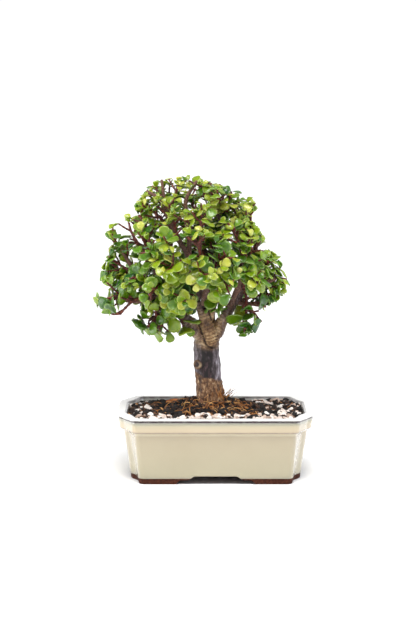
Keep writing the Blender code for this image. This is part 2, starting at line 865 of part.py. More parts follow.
def mesh_tree(obj):
    bm = bmesh.new()
    bm.from_mesh(obj.data)
    bm.transform(obj.matrix_world)
    bmesh.ops.triangulate(bm, faces=bm.faces)
    return tree_of(bm)


def leaf_fits(leaf, spray_number, wood_trees, leaf_trees):
    body = tree_of(leaf_bmesh(leaf, LEAF_CLEARANCE))
    blade = tree_of(leaf_bmesh(leaf, 0.1, 0.3))
    middle = leaf["base"] + leaf["along"] * leaf["length"] / 2
    for number, tree in wood_trees:
        if number != spray_number and body.overlap(tree):
            return None
    for number, place, whole, own in leaf_trees:
        if (place - middle).length > 18:
            continue
        if number == spray_number and blade.overlap(own):
            return None
        if number != spray_number and body.overlap(whole):
            return None
    return (spray_number, middle, tree_of(leaf_bmesh(leaf)), blade)


def placed_leaves(spray_number, leaves, wood_trees, leaf_trees):
    """The leaves that find room, each turned a little round its stem where that helps."""
    kept = []
    for leaf in leaves:
        for angle in (0, 18, -18, 36, -36):
            candidate = turned_leaf(leaf, angle)
            trees = leaf_fits(candidate, spray_number, wood_trees, leaf_trees)
            if trees:
                leaf_trees.append(trees)
                kept.append(candidate)
                break
    return kept


def make_stems(parts, sprays):
    for number, spray in enumerate(sprays, 1):
        radii = tapered(STEM_POINTS, STEM_RADIUS, TIP_RADIUS)
        spray["object"] = tube(f"spray_{number:02d}", spray["stem"], radii, 0, parts)


def make_sprays(sprays):
    material = leaf_material()
    trunk = bpy.data.objects["trunk"]
    wood_trees = [(0, mesh_tree(trunk))]
    for number, spray in enumerate(sprays, 1):
        wood_trees.append((number, mesh_tree(spray["object"])))
    leaf_trees = []
    total = 0
    for number, spray in enumerate(sprays, 1):
        spray["kept"] = placed_leaves(number, spray["leaves"], wood_trees, leaf_trees)
        total += len(spray["kept"])
    print(f"{total} leaves on {len(sprays)} sprays")
    for number, spray in enumerate(sprays, 1):
        join = new_collection(f"join_{number}")
        for index, leaf in enumerate(spray["kept"]):
            bm = leaf_bmesh(leaf)
            mesh_object(f"leaf_{number}_{index}", finish_bmesh(bm, "leaf"), join)
        boolean(spray["object"], "UNION", join, "MANIFOLD")
        drop_scraps(spray["object"])
        remove_all(join)
        bpy.data.collections.remove(join)
        spray["object"].data.materials.clear()
        spray["object"].data.materials.append(material)
        shade(spray["object"], 60)


def main():
    clear_scene()
    parts = new_collection("elephant_bush_bonsai")
    cutters = new_collection("cutters")
    make_pot(parts, cutters)
    make_screens(parts)
    make_soil(parts, cutters)
    sprays = plan_sprays()
    make_trunk(parts, cutters, sprays)
    make_stems(parts, sprays)
    make_sprays(sprays)


main()
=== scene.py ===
# %% [markdown]
# # Elephant bush bonsai in a cream glazed pot
#
# Elephant bush is a succulent shrub. Grown small it makes a stout grey trunk with ringed bark,
# red-brown shoots and round fleshy leaves in opposite pairs. This one stands in a stoneware
# pot whose four corners are set back. The lesson builds it from the outside in: the camera and
# light first, because every colour is judged through them, then the pot, the soil, the wood and
# the leaves.

import itertools
import math
import random

import bmesh
import bpy
import numpy as np
from mathutils import Matrix, Vector, kdtree, noise


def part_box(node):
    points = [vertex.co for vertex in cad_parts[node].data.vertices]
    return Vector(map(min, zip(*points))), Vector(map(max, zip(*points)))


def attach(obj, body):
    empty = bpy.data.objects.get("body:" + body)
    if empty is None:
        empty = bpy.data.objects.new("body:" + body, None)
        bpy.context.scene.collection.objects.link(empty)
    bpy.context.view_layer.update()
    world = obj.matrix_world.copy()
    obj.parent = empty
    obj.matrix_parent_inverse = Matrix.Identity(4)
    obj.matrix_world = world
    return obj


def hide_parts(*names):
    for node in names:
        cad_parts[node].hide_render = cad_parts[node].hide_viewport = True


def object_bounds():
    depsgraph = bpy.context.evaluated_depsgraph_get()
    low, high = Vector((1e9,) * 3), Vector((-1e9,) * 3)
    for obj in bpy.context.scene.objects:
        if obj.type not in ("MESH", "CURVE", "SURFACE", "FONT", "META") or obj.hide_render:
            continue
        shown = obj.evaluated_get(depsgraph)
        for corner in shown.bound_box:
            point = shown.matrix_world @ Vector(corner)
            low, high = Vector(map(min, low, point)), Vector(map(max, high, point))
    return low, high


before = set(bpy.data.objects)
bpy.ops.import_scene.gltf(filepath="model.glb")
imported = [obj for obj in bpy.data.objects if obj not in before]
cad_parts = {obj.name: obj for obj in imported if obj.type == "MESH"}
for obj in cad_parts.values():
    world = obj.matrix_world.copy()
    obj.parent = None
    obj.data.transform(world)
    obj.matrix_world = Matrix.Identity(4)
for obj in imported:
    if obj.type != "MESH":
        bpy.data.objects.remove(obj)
CAD_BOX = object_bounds()
MM = 0.001
print(f"{len(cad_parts)} solids, {round(CAD_BOX[1].z / MM)} mm tall")

# %% [markdown]
# ## Helpers
#
# A reader picks objects with the mouse; a script needs the same thing in words. `pick` makes
# one object the selected and active one. `choose` selects the points of a mesh in edit mode by
# where they lie, because a script can't click on them. `between` and `hill` shape things softly
# by a place or a size. `add_node` puts one node in a material, and the short functions after it
# name the few kinds of node that every material here needs.

# %% Picking objects and points


def pick(*objects):
    """Selects these objects and nothing else; the last one is the active one."""
    bpy.ops.object.select_all(action="DESELECT")
    for obj in objects:
        obj.select_set(True)
    bpy.context.view_layer.objects.active = objects[-1]


def choose(obj, test):
    """In edit mode, selects the points whose place passes the test, and what they enclose."""
    bm = bmesh.from_edit_mesh(obj.data)
    for part in (bm.verts, bm.edges, bm.faces):
        for element in part:
            element.select_set(False)
    for vert in bm.verts:
        vert.select_set(test(vert.co))
    bm.select_flush(True)
    bmesh.update_edit_mesh(obj.data)


def set_in_place(obj):
    """Moves an object's place, turn and size into its mesh."""
    pick(obj)
    bpy.ops.object.transform_apply(location=True, rotation=True, scale=True)


def apply_modifier(obj, kind, **settings):
    pick(obj)
    modifier = obj.modifiers.new(kind.lower(), kind)
    for name, value in settings.items():
        setattr(modifier, name, value)
    bpy.ops.object.modifier_apply(modifier=modifier.name)


def smooth(obj, degrees):
    pick(obj)
    bpy.ops.object.shade_smooth_by_angle(angle=math.radians(degrees))


def clamp(value):
    return min(max(value, 0.0), 1.0)


def between(value, low, high):
    """0 below low, 1 above high and a soft step between them; high may be the smaller."""
    share = clamp((value - low) / (high - low))
    return share * share * (3 - 2 * share)


def hill(distance, width):
    """1 at no distance, falling softly to a third at one width and nearly 0 at two."""
    return math.exp(-((distance / width) ** 2))


def linear(hex_colour):
    """An sRGB hex colour as the linear numbers that Blender's shaders take."""
    shares = [int(hex_colour[i : i + 2], 16) / 255 for i in (1, 3, 5)]
    return tuple(c / 12.92 if c <= 0.04045 else ((c + 0.055) / 1.055) ** 2.4 for c in shares) + (1.0,)


def add_node(material, kind, links=None, stops=None, **settings):
    """Adds a node, sets its own settings, fills or links its inputs, and colours a ramp's stops."""
    node = material.node_tree.nodes.new(kind)
    for name, value in settings.items():
        setattr(node, name, value)
    for socket_name, value in (links or {}).items():
        socket = node.inputs[socket_name]
        if isinstance(value, bpy.types.NodeSocket):
            material.node_tree.links.new(value, socket)
        else:
            socket.default_value = value
    for number, (position, colour) in enumerate(stops or []):
        elements = node.color_ramp.elements
        element = elements[number] if number < len(elements) else elements.new(position)
        element.position = position
        element.color = linear(colour) if isinstance(colour, str) else (colour, colour, colour, 1)
    return node


def new_material(name, **shader_values):
    """A material, with plain values set on the sockets of its main shader."""
    material = bpy.data.materials.new(name)
    material.use_nodes = True
    shader = material.node_tree.nodes["Principled BSDF"]
    for socket_name, value in shader_values.items():
        shader.inputs[socket_name.replace("_", " ")].default_value = value
    return material


def object_place(material, lengthwise=1.0):
    """The place in the object's own space; below 1, lengthwise draws a pattern out in height."""
    place = add_node(material, "ShaderNodeTexCoord").outputs["Object"]
    if lengthwise == 1.0:
        return place
    inputs = {"Vector": place, "Scale": (1.0, 1.0, lengthwise)}
    return add_node(material, "ShaderNodeMapping", inputs).outputs["Vector"]


def stored(material, name):
    """The number that the points of the mesh carry under a name."""
    return add_node(material, "ShaderNodeAttribute", attribute_name=name).outputs["Fac"]


def speckle(material, place, scale, detail=2.0, roughness=0.5):
    """A noise from 0 to 1; its scale is about how many specks lie along a metre."""
    settings = {"Vector": place, "Scale": scale, "Detail": detail, "Roughness": roughness}
    return add_node(material, "ShaderNodeTexNoise", settings).outputs["Fac"]


def times_plus(material, value, factor, added=0.0):
    inputs = {0: value, 1: factor, 2: added}
    return add_node(material, "ShaderNodeMath", inputs, operation="MULTIPLY_ADD").outputs["Value"]


def rescaled(material, value, low, high, new_low=0.0, new_high=1.0):
    """Spreads what lies from low to high over a new range and cuts off the rest."""
    ends = {"Value": value, "From Min": low, "From Max": high, "To Min": new_low, "To Max": new_high}
    return add_node(material, "ShaderNodeMapRange", ends).outputs["Result"]


def ramp(material, value, *stops):
    """Colours spread over the values from 0 to 1."""
    return add_node(material, "ShaderNodeValToRGB", {"Fac": value}, stops=stops).outputs["Color"]


def blend_colours(material, share, first, second, blend="MIX"):
    """Mixes two colours; a share of 0 gives the first."""
    inputs = {"Factor": share, 6: first, 7: second}
    return add_node(material, "ShaderNodeMix", inputs, data_type="RGBA", blend_type=blend).outputs[2]


def relief(material, height, strength, distance, over=None):
    """A surface that follows a height, on top of another relief if one is given."""
    inputs = {"Height": height, "Strength": strength, "Distance": distance}
    if over is not None:
        inputs["Normal"] = over
    return add_node(material, "ShaderNodeBump", inputs).outputs["Normal"]


def dress(material, colour, normal=None):
    """Links a colour, and a relief if there is one, to a material's main shader."""
    shader = material.node_tree.nodes["Principled BSDF"]
    material.node_tree.links.new(colour, shader.inputs["Base Color"])
    if normal is not None:
        material.node_tree.links.new(normal, shader.inputs["Normal"])


def finish_piece(obj, name, material, slot_name, *nodes):
    """Names a piece, dresses it, lets it ride on the one body, and hides the solids it stands for."""
    obj.name = name
    obj.data.name = name
    if material:
        obj.data.materials.clear()
        obj.data.materials.append(material)
    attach(obj, "root")
    if nodes:
        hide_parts(*nodes)
    print(f"{name}: {len(obj.data.polygons)} faces")


# %% [markdown]
# ## Camera, floor and light
#
# The photograph is taken from about two metres with a long lens, looking slightly down, so the
# soil shows as a thin band behind the front of the rim. The floor and the background are both
# plain white. Light from all round would be too even: the gaps among the leaves are nearly
# black in the photograph. So the world is bright only near the horizon, as a room with white
# walls, and most of the light falls from above, from a wide soft source a little in front. Two
# tall strips at the sides draw the highlights down the corners of the glazed pot.

# %% Camera
POT_LOW, POT_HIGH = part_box("pot")
POT_MIDDLE = (POT_LOW + POT_HIGH) / 2
POT_MIDDLE.z = 0
CAMERA_BACK = 2.14  # metres from the pot's middle
CAMERA_SIDE = -0.0079
CAMERA_HEIGHT = 0.45
LOOK_DOWN = 7.43

bpy.ops.object.camera_add(
    location=(POT_MIDDLE.x + CAMERA_SIDE, POT_MIDDLE.y - CAMERA_BACK, CAMERA_HEIGHT),
    rotation=(math.radians(90 - LOOK_DOWN), 0, 0),
)
camera = bpy.context.object
camera.data.lens = 119
camera.data.sensor_width = 36
camera.data.clip_end = 50
bpy.context.scene.camera = camera
print("camera at", [round(v, 3) for v in camera.location])

# %% Floor
bpy.ops.mesh.primitive_plane_add(size=30, location=(0, 0, 0))
floor = bpy.context.object
floor.name = "floor"
floor.data.materials.append(new_material("matt_white_paper", Roughness=0.9, Base_Color=linear("#F6F6F6")))

# %% Light
HORIZON_GLOW = 1.05
CEILING_GLOW = 0.4

world = bpy.data.worlds.new("white_walls_and_dim_ceiling")
bpy.context.scene.world = world
world.use_nodes = True
direction = add_node(world, "ShaderNodeTexCoord").outputs["Generated"]
up = add_node(world, "ShaderNodeSeparateXYZ", {"Vector": direction}).outputs["Z"]
background = world.node_tree.nodes["Background"]
background.inputs["Color"].default_value = (1, 1, 1, 1)
glow = rescaled(world, up, 0.12, 0.45, HORIZON_GLOW, CEILING_GLOW)
world.node_tree.links.new(glow, background.inputs["Strength"])


def add_strip(name, place, aim, width, height, power, colour):
    """A tall rectangular lamp that faces the point it is aimed at."""
    bpy.ops.object.light_add(type="AREA", location=place)
    lamp = bpy.context.object
    lamp.name = name
    lamp.data.shape = "RECTANGLE"
    lamp.data.size = width
    lamp.data.size_y = height
    lamp.data.energy = power
    lamp.data.color = linear(colour)[:3]
    lamp.rotation_euler = (Vector(aim) - Vector(place)).to_track_quat("-Z", "Y").to_euler()
    return lamp


add_strip("left_strip", (-1.15, -0.2, 0.45), (0, 0, 0.1), 0.75, 0.8, 9.0, "#FFFFFF")
add_strip("right_strip", (1.15, -0.2, 0.5), (0, 0, 0.12), 0.75, 0.8, 5.0, "#EEF3FF")
bpy.ops.object.light_add(type="SUN", rotation=(math.radians(26), math.radians(2), 0))
overhead = bpy.context.object
overhead.name = "overhead_light"
overhead.data.energy = 3.35
overhead.data.angle = math.radians(34)
bpy.context.scene.view_settings.view_transform = "Standard"
print("one floor, white walls, two strips and a soft light from above")

# %% [markdown]
# ## The pot
#
# Such pots are pressed or cast from stoneware clay and dipped in glaze, standing on feet that
# are wiped bare so that they don't stick to the kiln shelf. The plan is a rectangle whose
# corners are set back in a soft S. Blender's vertex bevel makes the step when its profile is 0:
# the corner moves inwards instead of being cut off, and leaves three points that can then be
# moved. A second vertex bevel rounds them. From that plate the wall is drawn up ring by ring, as
# a potter's template would scrape it. A cube and a Bevel modifier would round the corners
# outwards instead.

# %% The plan of the pot
RIM_HALF_X = 102.9 * MM
RIM_HALF_Y = 75 * MM
# How far from the rectangle's own corner each long side ends, the inner bend lies and each end starts
LONG_SIDE_GAP = 15.6 * MM
BEND_GAP_X = 7.5 * MM
BEND_GAP_Y = 21.5 * MM
END_GAP = 31 * MM
# Points that lie within this of a height belong to the ring at that height
SAME_HEIGHT = 0.01 * MM


def corner_points(inset):
    """The three points of the set-back corner at an inset from the rim: side's end, bend, end's start."""
    half_x = RIM_HALF_X - inset
    half_y = RIM_HALF_Y - inset
    side_end = (half_x - LONG_SIDE_GAP + 0.38 * inset, half_y)
    bend = (half_x - BEND_GAP_X, half_y - BEND_GAP_Y)
    return side_end, bend, (half_x, half_y - END_GAP)


def notched_plate(inset, height, corner):
    """A flat plate with the pot's plan, made of one face."""
    side_end, bend, end_start = corner_points(inset)
    half_x = end_start[0]
    half_y = side_end[1]
    notch = (half_x - side_end[0], half_y - bend[1], 1)
    middle = (0, 0, height)
    bpy.ops.mesh.primitive_plane_add(size=2, location=middle)
    plate = bpy.context.object
    bpy.ops.object.mode_set(mode="EDIT")
    bpy.ops.mesh.select_all(action="SELECT")
    bpy.ops.transform.resize(value=(half_x / notch[0], half_y / notch[1], 1))
    bpy.ops.mesh.bevel(affect="VERTICES", offset=1, offset_type="ABSOLUTE", segments=2, profile=0)
    bpy.ops.transform.resize(value=notch)
    choose(plate, lambda p: abs(p.x) < half_x - 0.1 * MM and abs(p.y) < half_y - 0.1 * MM)
    bpy.ops.transform.resize(value=(bend[0] / side_end[0], 1, 1), center_override=middle)
    choose(plate, lambda p: abs(p.x) > half_x - 0.1 * MM)
    bpy.ops.transform.resize(value=(1, end_start[1] / bend[1], 1), center_override=middle)
    bpy.ops.mesh.select_all(action="SELECT")
    bpy.ops.mesh.bevel(affect="VERTICES", offset=corner, offset_type="ABSOLUTE", segments=6, profile=0.5)
    bpy.ops.object.mode_set(mode="OBJECT")
    set_in_place(plate)
    return plate


# %% [markdown]
# The wall leans outwards, and the ends lean more than the long sides, so the three points of a
# corner each move by their own amount from ring to ring. Scaling a whole ring would bend the S
# out of shape. After each extrude, the new ring's points therefore follow the nearest of the
# three.

# %% Drawing the wall up


def follow_corners(plate, height, was, now):
    """Moves the ring at a height from one set of corner points to another."""
    bm = bmesh.from_edit_mesh(plate.data)
    for vert in bm.verts:
        if abs(vert.co.z - height) < SAME_HEIGHT:
            gaps = [math.hypot(abs(vert.co.x) - x, abs(vert.co.y) - y) for x, y in was]
            nearest = gaps.index(min(gaps))
            vert.co.x += math.copysign(1, vert.co.x) * (now[nearest][0] - was[nearest][0])
            vert.co.y += math.copysign(1, vert.co.y) * (now[nearest][1] - was[nearest][1])
    bmesh.update_edit_mesh(plate.data)


def draw_up(plate, rings):
    """Extrudes the plate's face through rings of (height, inset), both in metres."""
    height, inset = rings[0]
    pick(plate)
    bpy.ops.object.mode_set(mode="EDIT")
    for next_height, next_inset in rings[1:]:
        choose(plate, lambda p: abs(p.z - height) < SAME_HEIGHT)
        bpy.ops.mesh.extrude_region_move(TRANSFORM_OT_translate={"value": (0, 0, next_height - height)})
        follow_corners(plate, next_height, corner_points(inset), corner_points(next_inset))
        height, inset = next_height, next_inset
    bpy.ops.mesh.select_all(action="SELECT")
    bpy.ops.mesh.normals_make_consistent(inside=False)
    bpy.ops.object.mode_set(mode="OBJECT")


# %% The pot's wall
# Height and inset from the rim's edge in millimetres, and how thin the glaze runs there, from 0
# to 1: up the outside, over the lip and down the inside
POT_RINGS = (
    (0.0, 15.2, 0), (0.7, 14.6, 0), (5.2, 14.2, 0), (5.5, 14.0, 0), (6.1, 13.5, 0), (13.4, 12.8, 0),
    (20.7, 11.9, 0), (28.0, 11.0, 0), (35.4, 9.9, 0), (42.9, 8.8, 0), (50.3, 7.8, 0), (52.4, 7.2, 0),
    (53.6, 6.0, 0.1), (54.7, 4.3, 0.15), (55.3, 3.7, 0.75), (56.0, 3.3, 0.15), (57.5, 3.1, 0),
    (62.0, 2.6, 0), (65.9, 2.1, 0.1), (66.5, 2.4, 1), (67.3, 2.5, 1), (67.8, 1.6, 1), (68.2, 0.6, 1),
    (68.5, 0.15, 1), (68.8, 0.0, 0.7), (69.1, 0.1, 0.05), (69.5, 0.45, 0), (69.85, 1.1, 0),
    (70.0, 1.9, 0.05), (70.05, 2.7, 0), (70.02, 7.6, 0), (69.95, 8.3, 0.05), (69.9, 8.9, 0.75),
    (69.4, 10.1, 0.85), (68.6, 10.8, 0.95), (67.5, 11.2, 0.45), (65.5, 11.5, 0.2), (50.0, 14.0, 0),
    (33.0, 16.8, 0), (16.0, 19.5, 0),
)
pot = notched_plate(POT_RINGS[0][1] * MM, 0, 5.6 * MM)
draw_up(pot, [(height * MM, inset * MM) for height, inset, thin in POT_RINGS])
print("pot before its feet are cut:", [round(v / MM, 1) for v in pot.dimensions])

# %% [markdown]
# The feet are what is left when a stepped channel is cut under each side and the middle is
# hollowed. In clay that is done with a knife before firing, so a Boolean that takes the channels
# away is the same work. The channel starts as a cube whose top is narrowed, extruded and
# narrowed again.

# %% Feet and drain holes
RECESS_TOP = 9.4 * MM
RECESS_INSET = 23.6 * MM
STEP_HEIGHT = 4.4 * MM
STEP_SLOPE = 5 * MM
BAR_LENGTH = 260 * MM
DRAIN_X = 45 * MM
DRAIN_RADIUS = 8 * MM


def stepped_bar(low_half, step_half, top_half, top_height):
    """A long bar under the pot with one step in each of its sides, given by its half widths."""
    bpy.ops.mesh.primitive_cube_add(size=1)
    bar = bpy.context.object
    slope_half = low_half - STEP_SLOPE
    bpy.ops.object.mode_set(mode="EDIT")
    bpy.ops.mesh.select_all(action="SELECT")
    bpy.ops.transform.resize(value=(2 * low_half, BAR_LENGTH, STEP_HEIGHT + MM))
    bpy.ops.transform.translate(value=(0, 0, (STEP_HEIGHT - MM) / 2))
    choose(bar, lambda p: p.z > STEP_HEIGHT - 0.1 * MM)
    on_step = (0, 0, STEP_HEIGHT)
    bpy.ops.transform.resize(value=(slope_half / low_half, 1, 1), center_override=on_step)
    bpy.ops.mesh.extrude_region_move(TRANSFORM_OT_translate={"value": (0, 0, 0.01 * MM)})
    bpy.ops.transform.resize(value=(step_half / slope_half, 1, 1), center_override=on_step)
    bpy.ops.mesh.extrude_region_move(TRANSFORM_OT_translate={"value": (0, 0, top_height - STEP_HEIGHT)})
    bpy.ops.transform.resize(value=(top_half / step_half, 1, 1), center_override=(0, 0, top_height))
    bpy.ops.object.mode_set(mode="OBJECT")
    return bar


def cut_away(obj, cutter):
    apply_modifier(obj, "BOOLEAN", operation="DIFFERENCE", object=cutter, solver="EXACT")
    bpy.data.objects.remove(cutter, do_unlink=True)


recess = notched_plate(RECESS_INSET, -MM, 3 * MM)
draw_up(recess, [(-MM, RECESS_INSET), (RECESS_TOP, RECESS_INSET)])
cut_away(pot, recess)
cut_away(pot, stepped_bar(low_half=42 * MM, step_half=28 * MM, top_half=22 * MM, top_height=8.7 * MM))
side_bar = stepped_bar(low_half=25 * MM, step_half=15 * MM, top_half=11 * MM, top_height=8.3 * MM)
pick(side_bar)
bpy.ops.transform.rotate(value=math.radians(90), orient_axis="Z", center_override=(0, 0, 0))
set_in_place(side_bar)
cut_away(pot, side_bar)
for side in (-1, 1):
    bpy.ops.mesh.primitive_cylinder_add(
        vertices=32, radius=DRAIN_RADIUS, depth=40 * MM, location=(side * DRAIN_X, 0, 0)
    )
    drain_cutter = bpy.context.object
    set_in_place(drain_cutter)
    cut_away(pot, drain_cutter)
pot.location = POT_MIDDLE
set_in_place(pot)
smooth(pot, 42)
print("pot:", [round(v / MM, 1) for v in pot.dimensions])

# %% [markdown]
# ** Glaze.** A cream stoneware glaze is glassy and slightly green where it is thick, and it breaks
# to slate brown where it runs thin over an edge: under the lip, along the inner edge of the rim
# and on the step below the band. How thin it runs was noted ring by ring above, so it is stored
# on the points of each ring. The rest of the colour follows the height through a ramp, and a
# slow noise bends it so that no line is ruled. The ramp also holds painted light: a greenish
# painted shade just under the lip and a near-white painted highlight over the lip's top. The
# gloss comes from a clear coat over a rougher body, as glass lies over clay.

# %% Cream glaze over stoneware
# Metres: how far the slow noise bends the colours, and the heights where the ramp starts and ends
WAVER_HEIGHT = 0.0016
RAMP_FOOT = 0.0008
RAMP_TOP = 0.0708

thinness = pot.data.attributes.new("thin_glaze", "FLOAT", "POINT")
for number, vert in enumerate(pot.data.vertices):
    for height, inset, thin in POT_RINGS:
        if abs(vert.co.z - height * MM) < SAME_HEIGHT:
            thinness.data[number].value = thin

glaze = new_material(
    "cream_glaze_over_stoneware", Roughness=0.25, IOR=1.5, Coat_Weight=0.9, Coat_Roughness=0.2
)
place = object_place(glaze)
height_up = add_node(glaze, "ShaderNodeSeparateXYZ", {"Vector": place}).outputs["Z"]
waver = speckle(glaze, place, 45.0, 3.0)
level = rescaled(glaze, times_plus(glaze, waver, WAVER_HEIGHT, height_up), RAMP_FOOT, RAMP_TOP)
# Painted light in the ramp: a greenish painted shade just under the lip (about 0.925) and a near-white
# painted highlight over the lip's top (0.962 and up)
by_height_with_painted_lip_light = ramp(
    glaze,
    level,
    (0.08, "#928C78"), (0.12, "#9F977C"), (0.45, "#A69B80"), (0.73, "#AA9D82"), (0.765, "#BBB094"),
    (0.79, "#C0AD90"), (0.89, "#B8AC8F"), (0.925, "#9F9D88"), (0.945, "#BFBBAE"), (0.962, "#E9E6E0"),
    (1.0, "#ECEAE5"),
)
cloudy = blend_colours(glaze, 0.16, by_height_with_painted_lip_light, speckle(glaze, place, 14.0, 5.0, 0.6), "SOFT_LIGHT")
breaks = speckle(glaze, place, 120.0, 4.0)
broken = times_plus(glaze, stored(glaze, "thin_glaze"), rescaled(glaze, breaks, 0.3, 0.55, 0.75))
slate = ramp(glaze, breaks, (0.35, "#24181B"), (0.7, "#47363C"))
crawl = speckle(glaze, place, 300.0)
dress(glaze, blend_colours(glaze, broken, cloudy, slate), relief(glaze, crawl, 0.015, 0.0006))

# %% [markdown]
# **Bare clay.** The feet are wiped clean of glaze before the firing. Iron makes the body fire a
# dark red brown. It is dull and slightly gritty, with no clear coat, so it is a material of its
# own on the faces below the glaze line and on those under the pot.

# %% Wiped iron stoneware
clay = new_material("wiped_iron_stoneware", Roughness=0.8, Specular_IOR_Level=0.2)
grit = speckle(clay, object_place(clay), 520.0, 5.0, 0.6)
fired = ramp(clay, grit, (0.3, "#2A130B"), (0.5, "#421F12"), (0.75, "#5C321F"))
dress(clay, fired, relief(clay, grit, 0.3, 0.0004))

pot.data.materials.append(glaze)
pot.data.materials.append(clay)
GLAZE_LINE = 5.3 * MM
for face in pot.data.polygons:
    inside_feet = face.center.z < RECESS_TOP + 0.1 * MM and face.normal.z < -0.5
    if face.center.z < GLAZE_LINE or inside_feet:
        face.material_index = 1
finish_piece(pot, "glazed_pot", None, "cream_glaze", "pot")

# %% [markdown]
# ## The drain mesh
#
# A square of plastic mesh over each hole keeps the mix in. It hardly shows, so the solids of the
# frame stay and only get their material: black moulded polyethylene with a slight waxy sheen.

# %% Black polyethylene mesh
plastic = new_material("black_polyethylene_mesh", IOR=1.51, Roughness=0.45)
scuff = speckle(plastic, object_place(plastic), 400.0)
dress(plastic, ramp(plastic, scuff, (0.35, "#141414"), (0.8, "#3A3733")))
for name in ("drain_mesh_1", "drain_mesh_2"):
    mesh_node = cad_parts[name]
    mesh_node.data.materials.clear()
    mesh_node.data.materials.append(plastic)
print("drain mesh dressed")

# %% [markdown]
# ## The mix in the pot
#
# Succulents stand in an open mix: dark bark fines with lumps of white pumice. A picture of
# gravel on a flat plate looks painted, so the bed is a solid with a real mound, and each lump on
# it is a real lump. The bed is drawn up from the same notched plate as the pot, and a voxel
# Remesh gives it even faces that can be moved up and down.

# %% The bed
FLOOR_TOP = 16 * MM
INNER_TOP = 68.5 * MM
# How far in the inner wall lies at the floor and at its top, in millimetres
FLOOR_INSET = 19.5
TOP_INSET = 10.9
SOIL_EDGE = 65.6 * MM
MOUND_HEIGHT = 13.5 * MM
MOUND_REACH = 40 * MM
LUMP_HEIGHT = 1.6 * MM
LUMP_WIDTH = 13 * MM
WALL_GAP = 0.4 * MM
TRUNK_MIDDLE = (-6 * MM, 0.0)
TRUNK_FOOT = 14 * MM


def inner_inset(height):
    """How far the inner wall lies in from the rim's edge at a height."""
    share = (INNER_TOP - height) / (INNER_TOP - FLOOR_TOP)
    return (TOP_INSET + share * (FLOOR_INSET - TOP_INSET)) * MM


def soil_height(x, y):
    """The mix's height at a place from the pot's middle: a mound with slow lumps, lower at the back."""
    away = math.hypot(x - TRUNK_MIDDLE[0], 1.3 * (y - TRUNK_MIDDLE[1]))
    mound = MOUND_HEIGHT * hill(away, MOUND_REACH)
    lumps = LUMP_HEIGHT * noise.noise(Vector((x, y, 0)) / LUMP_WIDTH)
    behind = clamp((y - 22 * MM) / (26 * MM))
    settled = (1.5 * MM - 0.012 * x) * behind
    return SOIL_EDGE + mound + lumps - settled


bed_bottom = FLOOR_TOP + 0.35 * MM
bed_ends = [(height, inner_inset(height) + WALL_GAP) for height in (bed_bottom, SOIL_EDGE)]
bed = notched_plate(bed_ends[0][1], bed_bottom, 2.6 * MM)
draw_up(bed, bed_ends)
apply_modifier(bed, "REMESH", mode="VOXEL", voxel_size=1.8 * MM)
for vert in bed.data.vertices:
    if vert.co.z > SOIL_EDGE - 2.5 * MM:
        grit = 0.9 * MM * noise.noise(vert.co / (3.2 * MM))
        vert.co.z += soil_height(vert.co.x, vert.co.y) - SOIL_EDGE + grit
bed.location = POT_MIDDLE
set_in_place(bed)
smooth(bed, 60)

# %% [markdown]
# **Dark bark fines.** Composted bark is nearly black when damp and brown where it dries. Grains
# of 1 to 3 mm are too fine to model one by one under the lumps, so a fine noise at that size
# colours and roughens the bed.

# %% Damp composted bark
mix = new_material("damp_composted_bark", Roughness=0.92)
grains = speckle(mix, object_place(mix), 420.0, 6.0, 0.7)
damp = ramp(mix, grains, (0.3, "#0D0A09"), (0.5, "#1C1513"), (0.66, "#33251E"), (0.8, "#5A4435"))
dress(mix, damp, relief(mix, grains, 0.8, 0.0012))
finish_piece(bed, "bed_of_mix", mix, "potting_mix", "soil")

# %% [markdown]
# **Lumps.** A stone is modelled once by adding a ball of triangles and shaking its points with
# Randomize. A few such stones are then copied hundreds of times with their own place, turn and
# size. One mesh holds all the copies of a kind, and each copy carries a number from 0 to 1, its
# tone, which its material reads to vary the colour. Instances would be lighter, but each copy
# here is real mesh that any program can open.

# %% Copying a shape many times


def shape_of(obj):
    """The points and faces of an object, which is then removed. Marks hold one number a point."""
    points = np.array([tuple(v.co) for v in obj.data.vertices])
    faces = [tuple(face.vertices) for face in obj.data.polygons]
    bpy.data.objects.remove(obj, do_unlink=True)
    return {"points": points, "faces": faces, "marks": np.zeros(len(points))}


def many(name, shapes, placements):
    """One mesh with a copy of a shape at each placement, which is (shape, matrix, tone)."""
    points, faces, tones, marks = [], [], [], []
    start = 0
    for shape_number, matrix, tone in placements:
        shape = shapes[shape_number]
        matrix = np.array(matrix)
        points.append(shape["points"] @ matrix[:3, :3].T + matrix[:3, 3])
        faces += [tuple(i + start for i in face) for face in shape["faces"]]
        tones += [tone] * len(shape["points"])
        marks.append(shape["marks"])
        start += len(shape["points"])
    data = bpy.data.meshes.new(name)
    data.from_pydata(np.concatenate(points).tolist(), [], faces)
    for attribute_name, values in (("tone", tones), ("mark", np.concatenate(marks))):
        attribute = data.attributes.new(attribute_name, "FLOAT", "POINT")
        attribute.data.foreach_set("value", np.array(values, np.float32))
    obj = bpy.data.objects.new(name, data)
    bpy.context.scene.collection.objects.link(obj)
    return obj


def rough_stone(seed, subdivisions, shake):
    bpy.ops.mesh.primitive_ico_sphere_add(subdivisions=subdivisions, radius=1)
    bpy.ops.object.mode_set(mode="EDIT")
    bpy.ops.mesh.select_all(action="SELECT")
    bpy.ops.transform.vertex_random(offset=shake, uniform=0.1, normal=0.4, seed=seed)
    bpy.ops.object.mode_set(mode="OBJECT")
    return shape_of(bpy.context.object)


# %% Where the lumps lie
BED_INSET = inner_inset(SOIL_EDGE)
STONE_KINDS = 4


def beyond(first, second, x, y):
    """Whether a place lies on the outer side of the line through two points of a corner."""
    return (second[0] - first[0]) * (y - first[1]) > (second[1] - first[1]) * (x - first[0])


def from_trunk(x, y):
    return math.hypot(x - TRUNK_MIDDLE[0], y - TRUNK_MIDDLE[1])


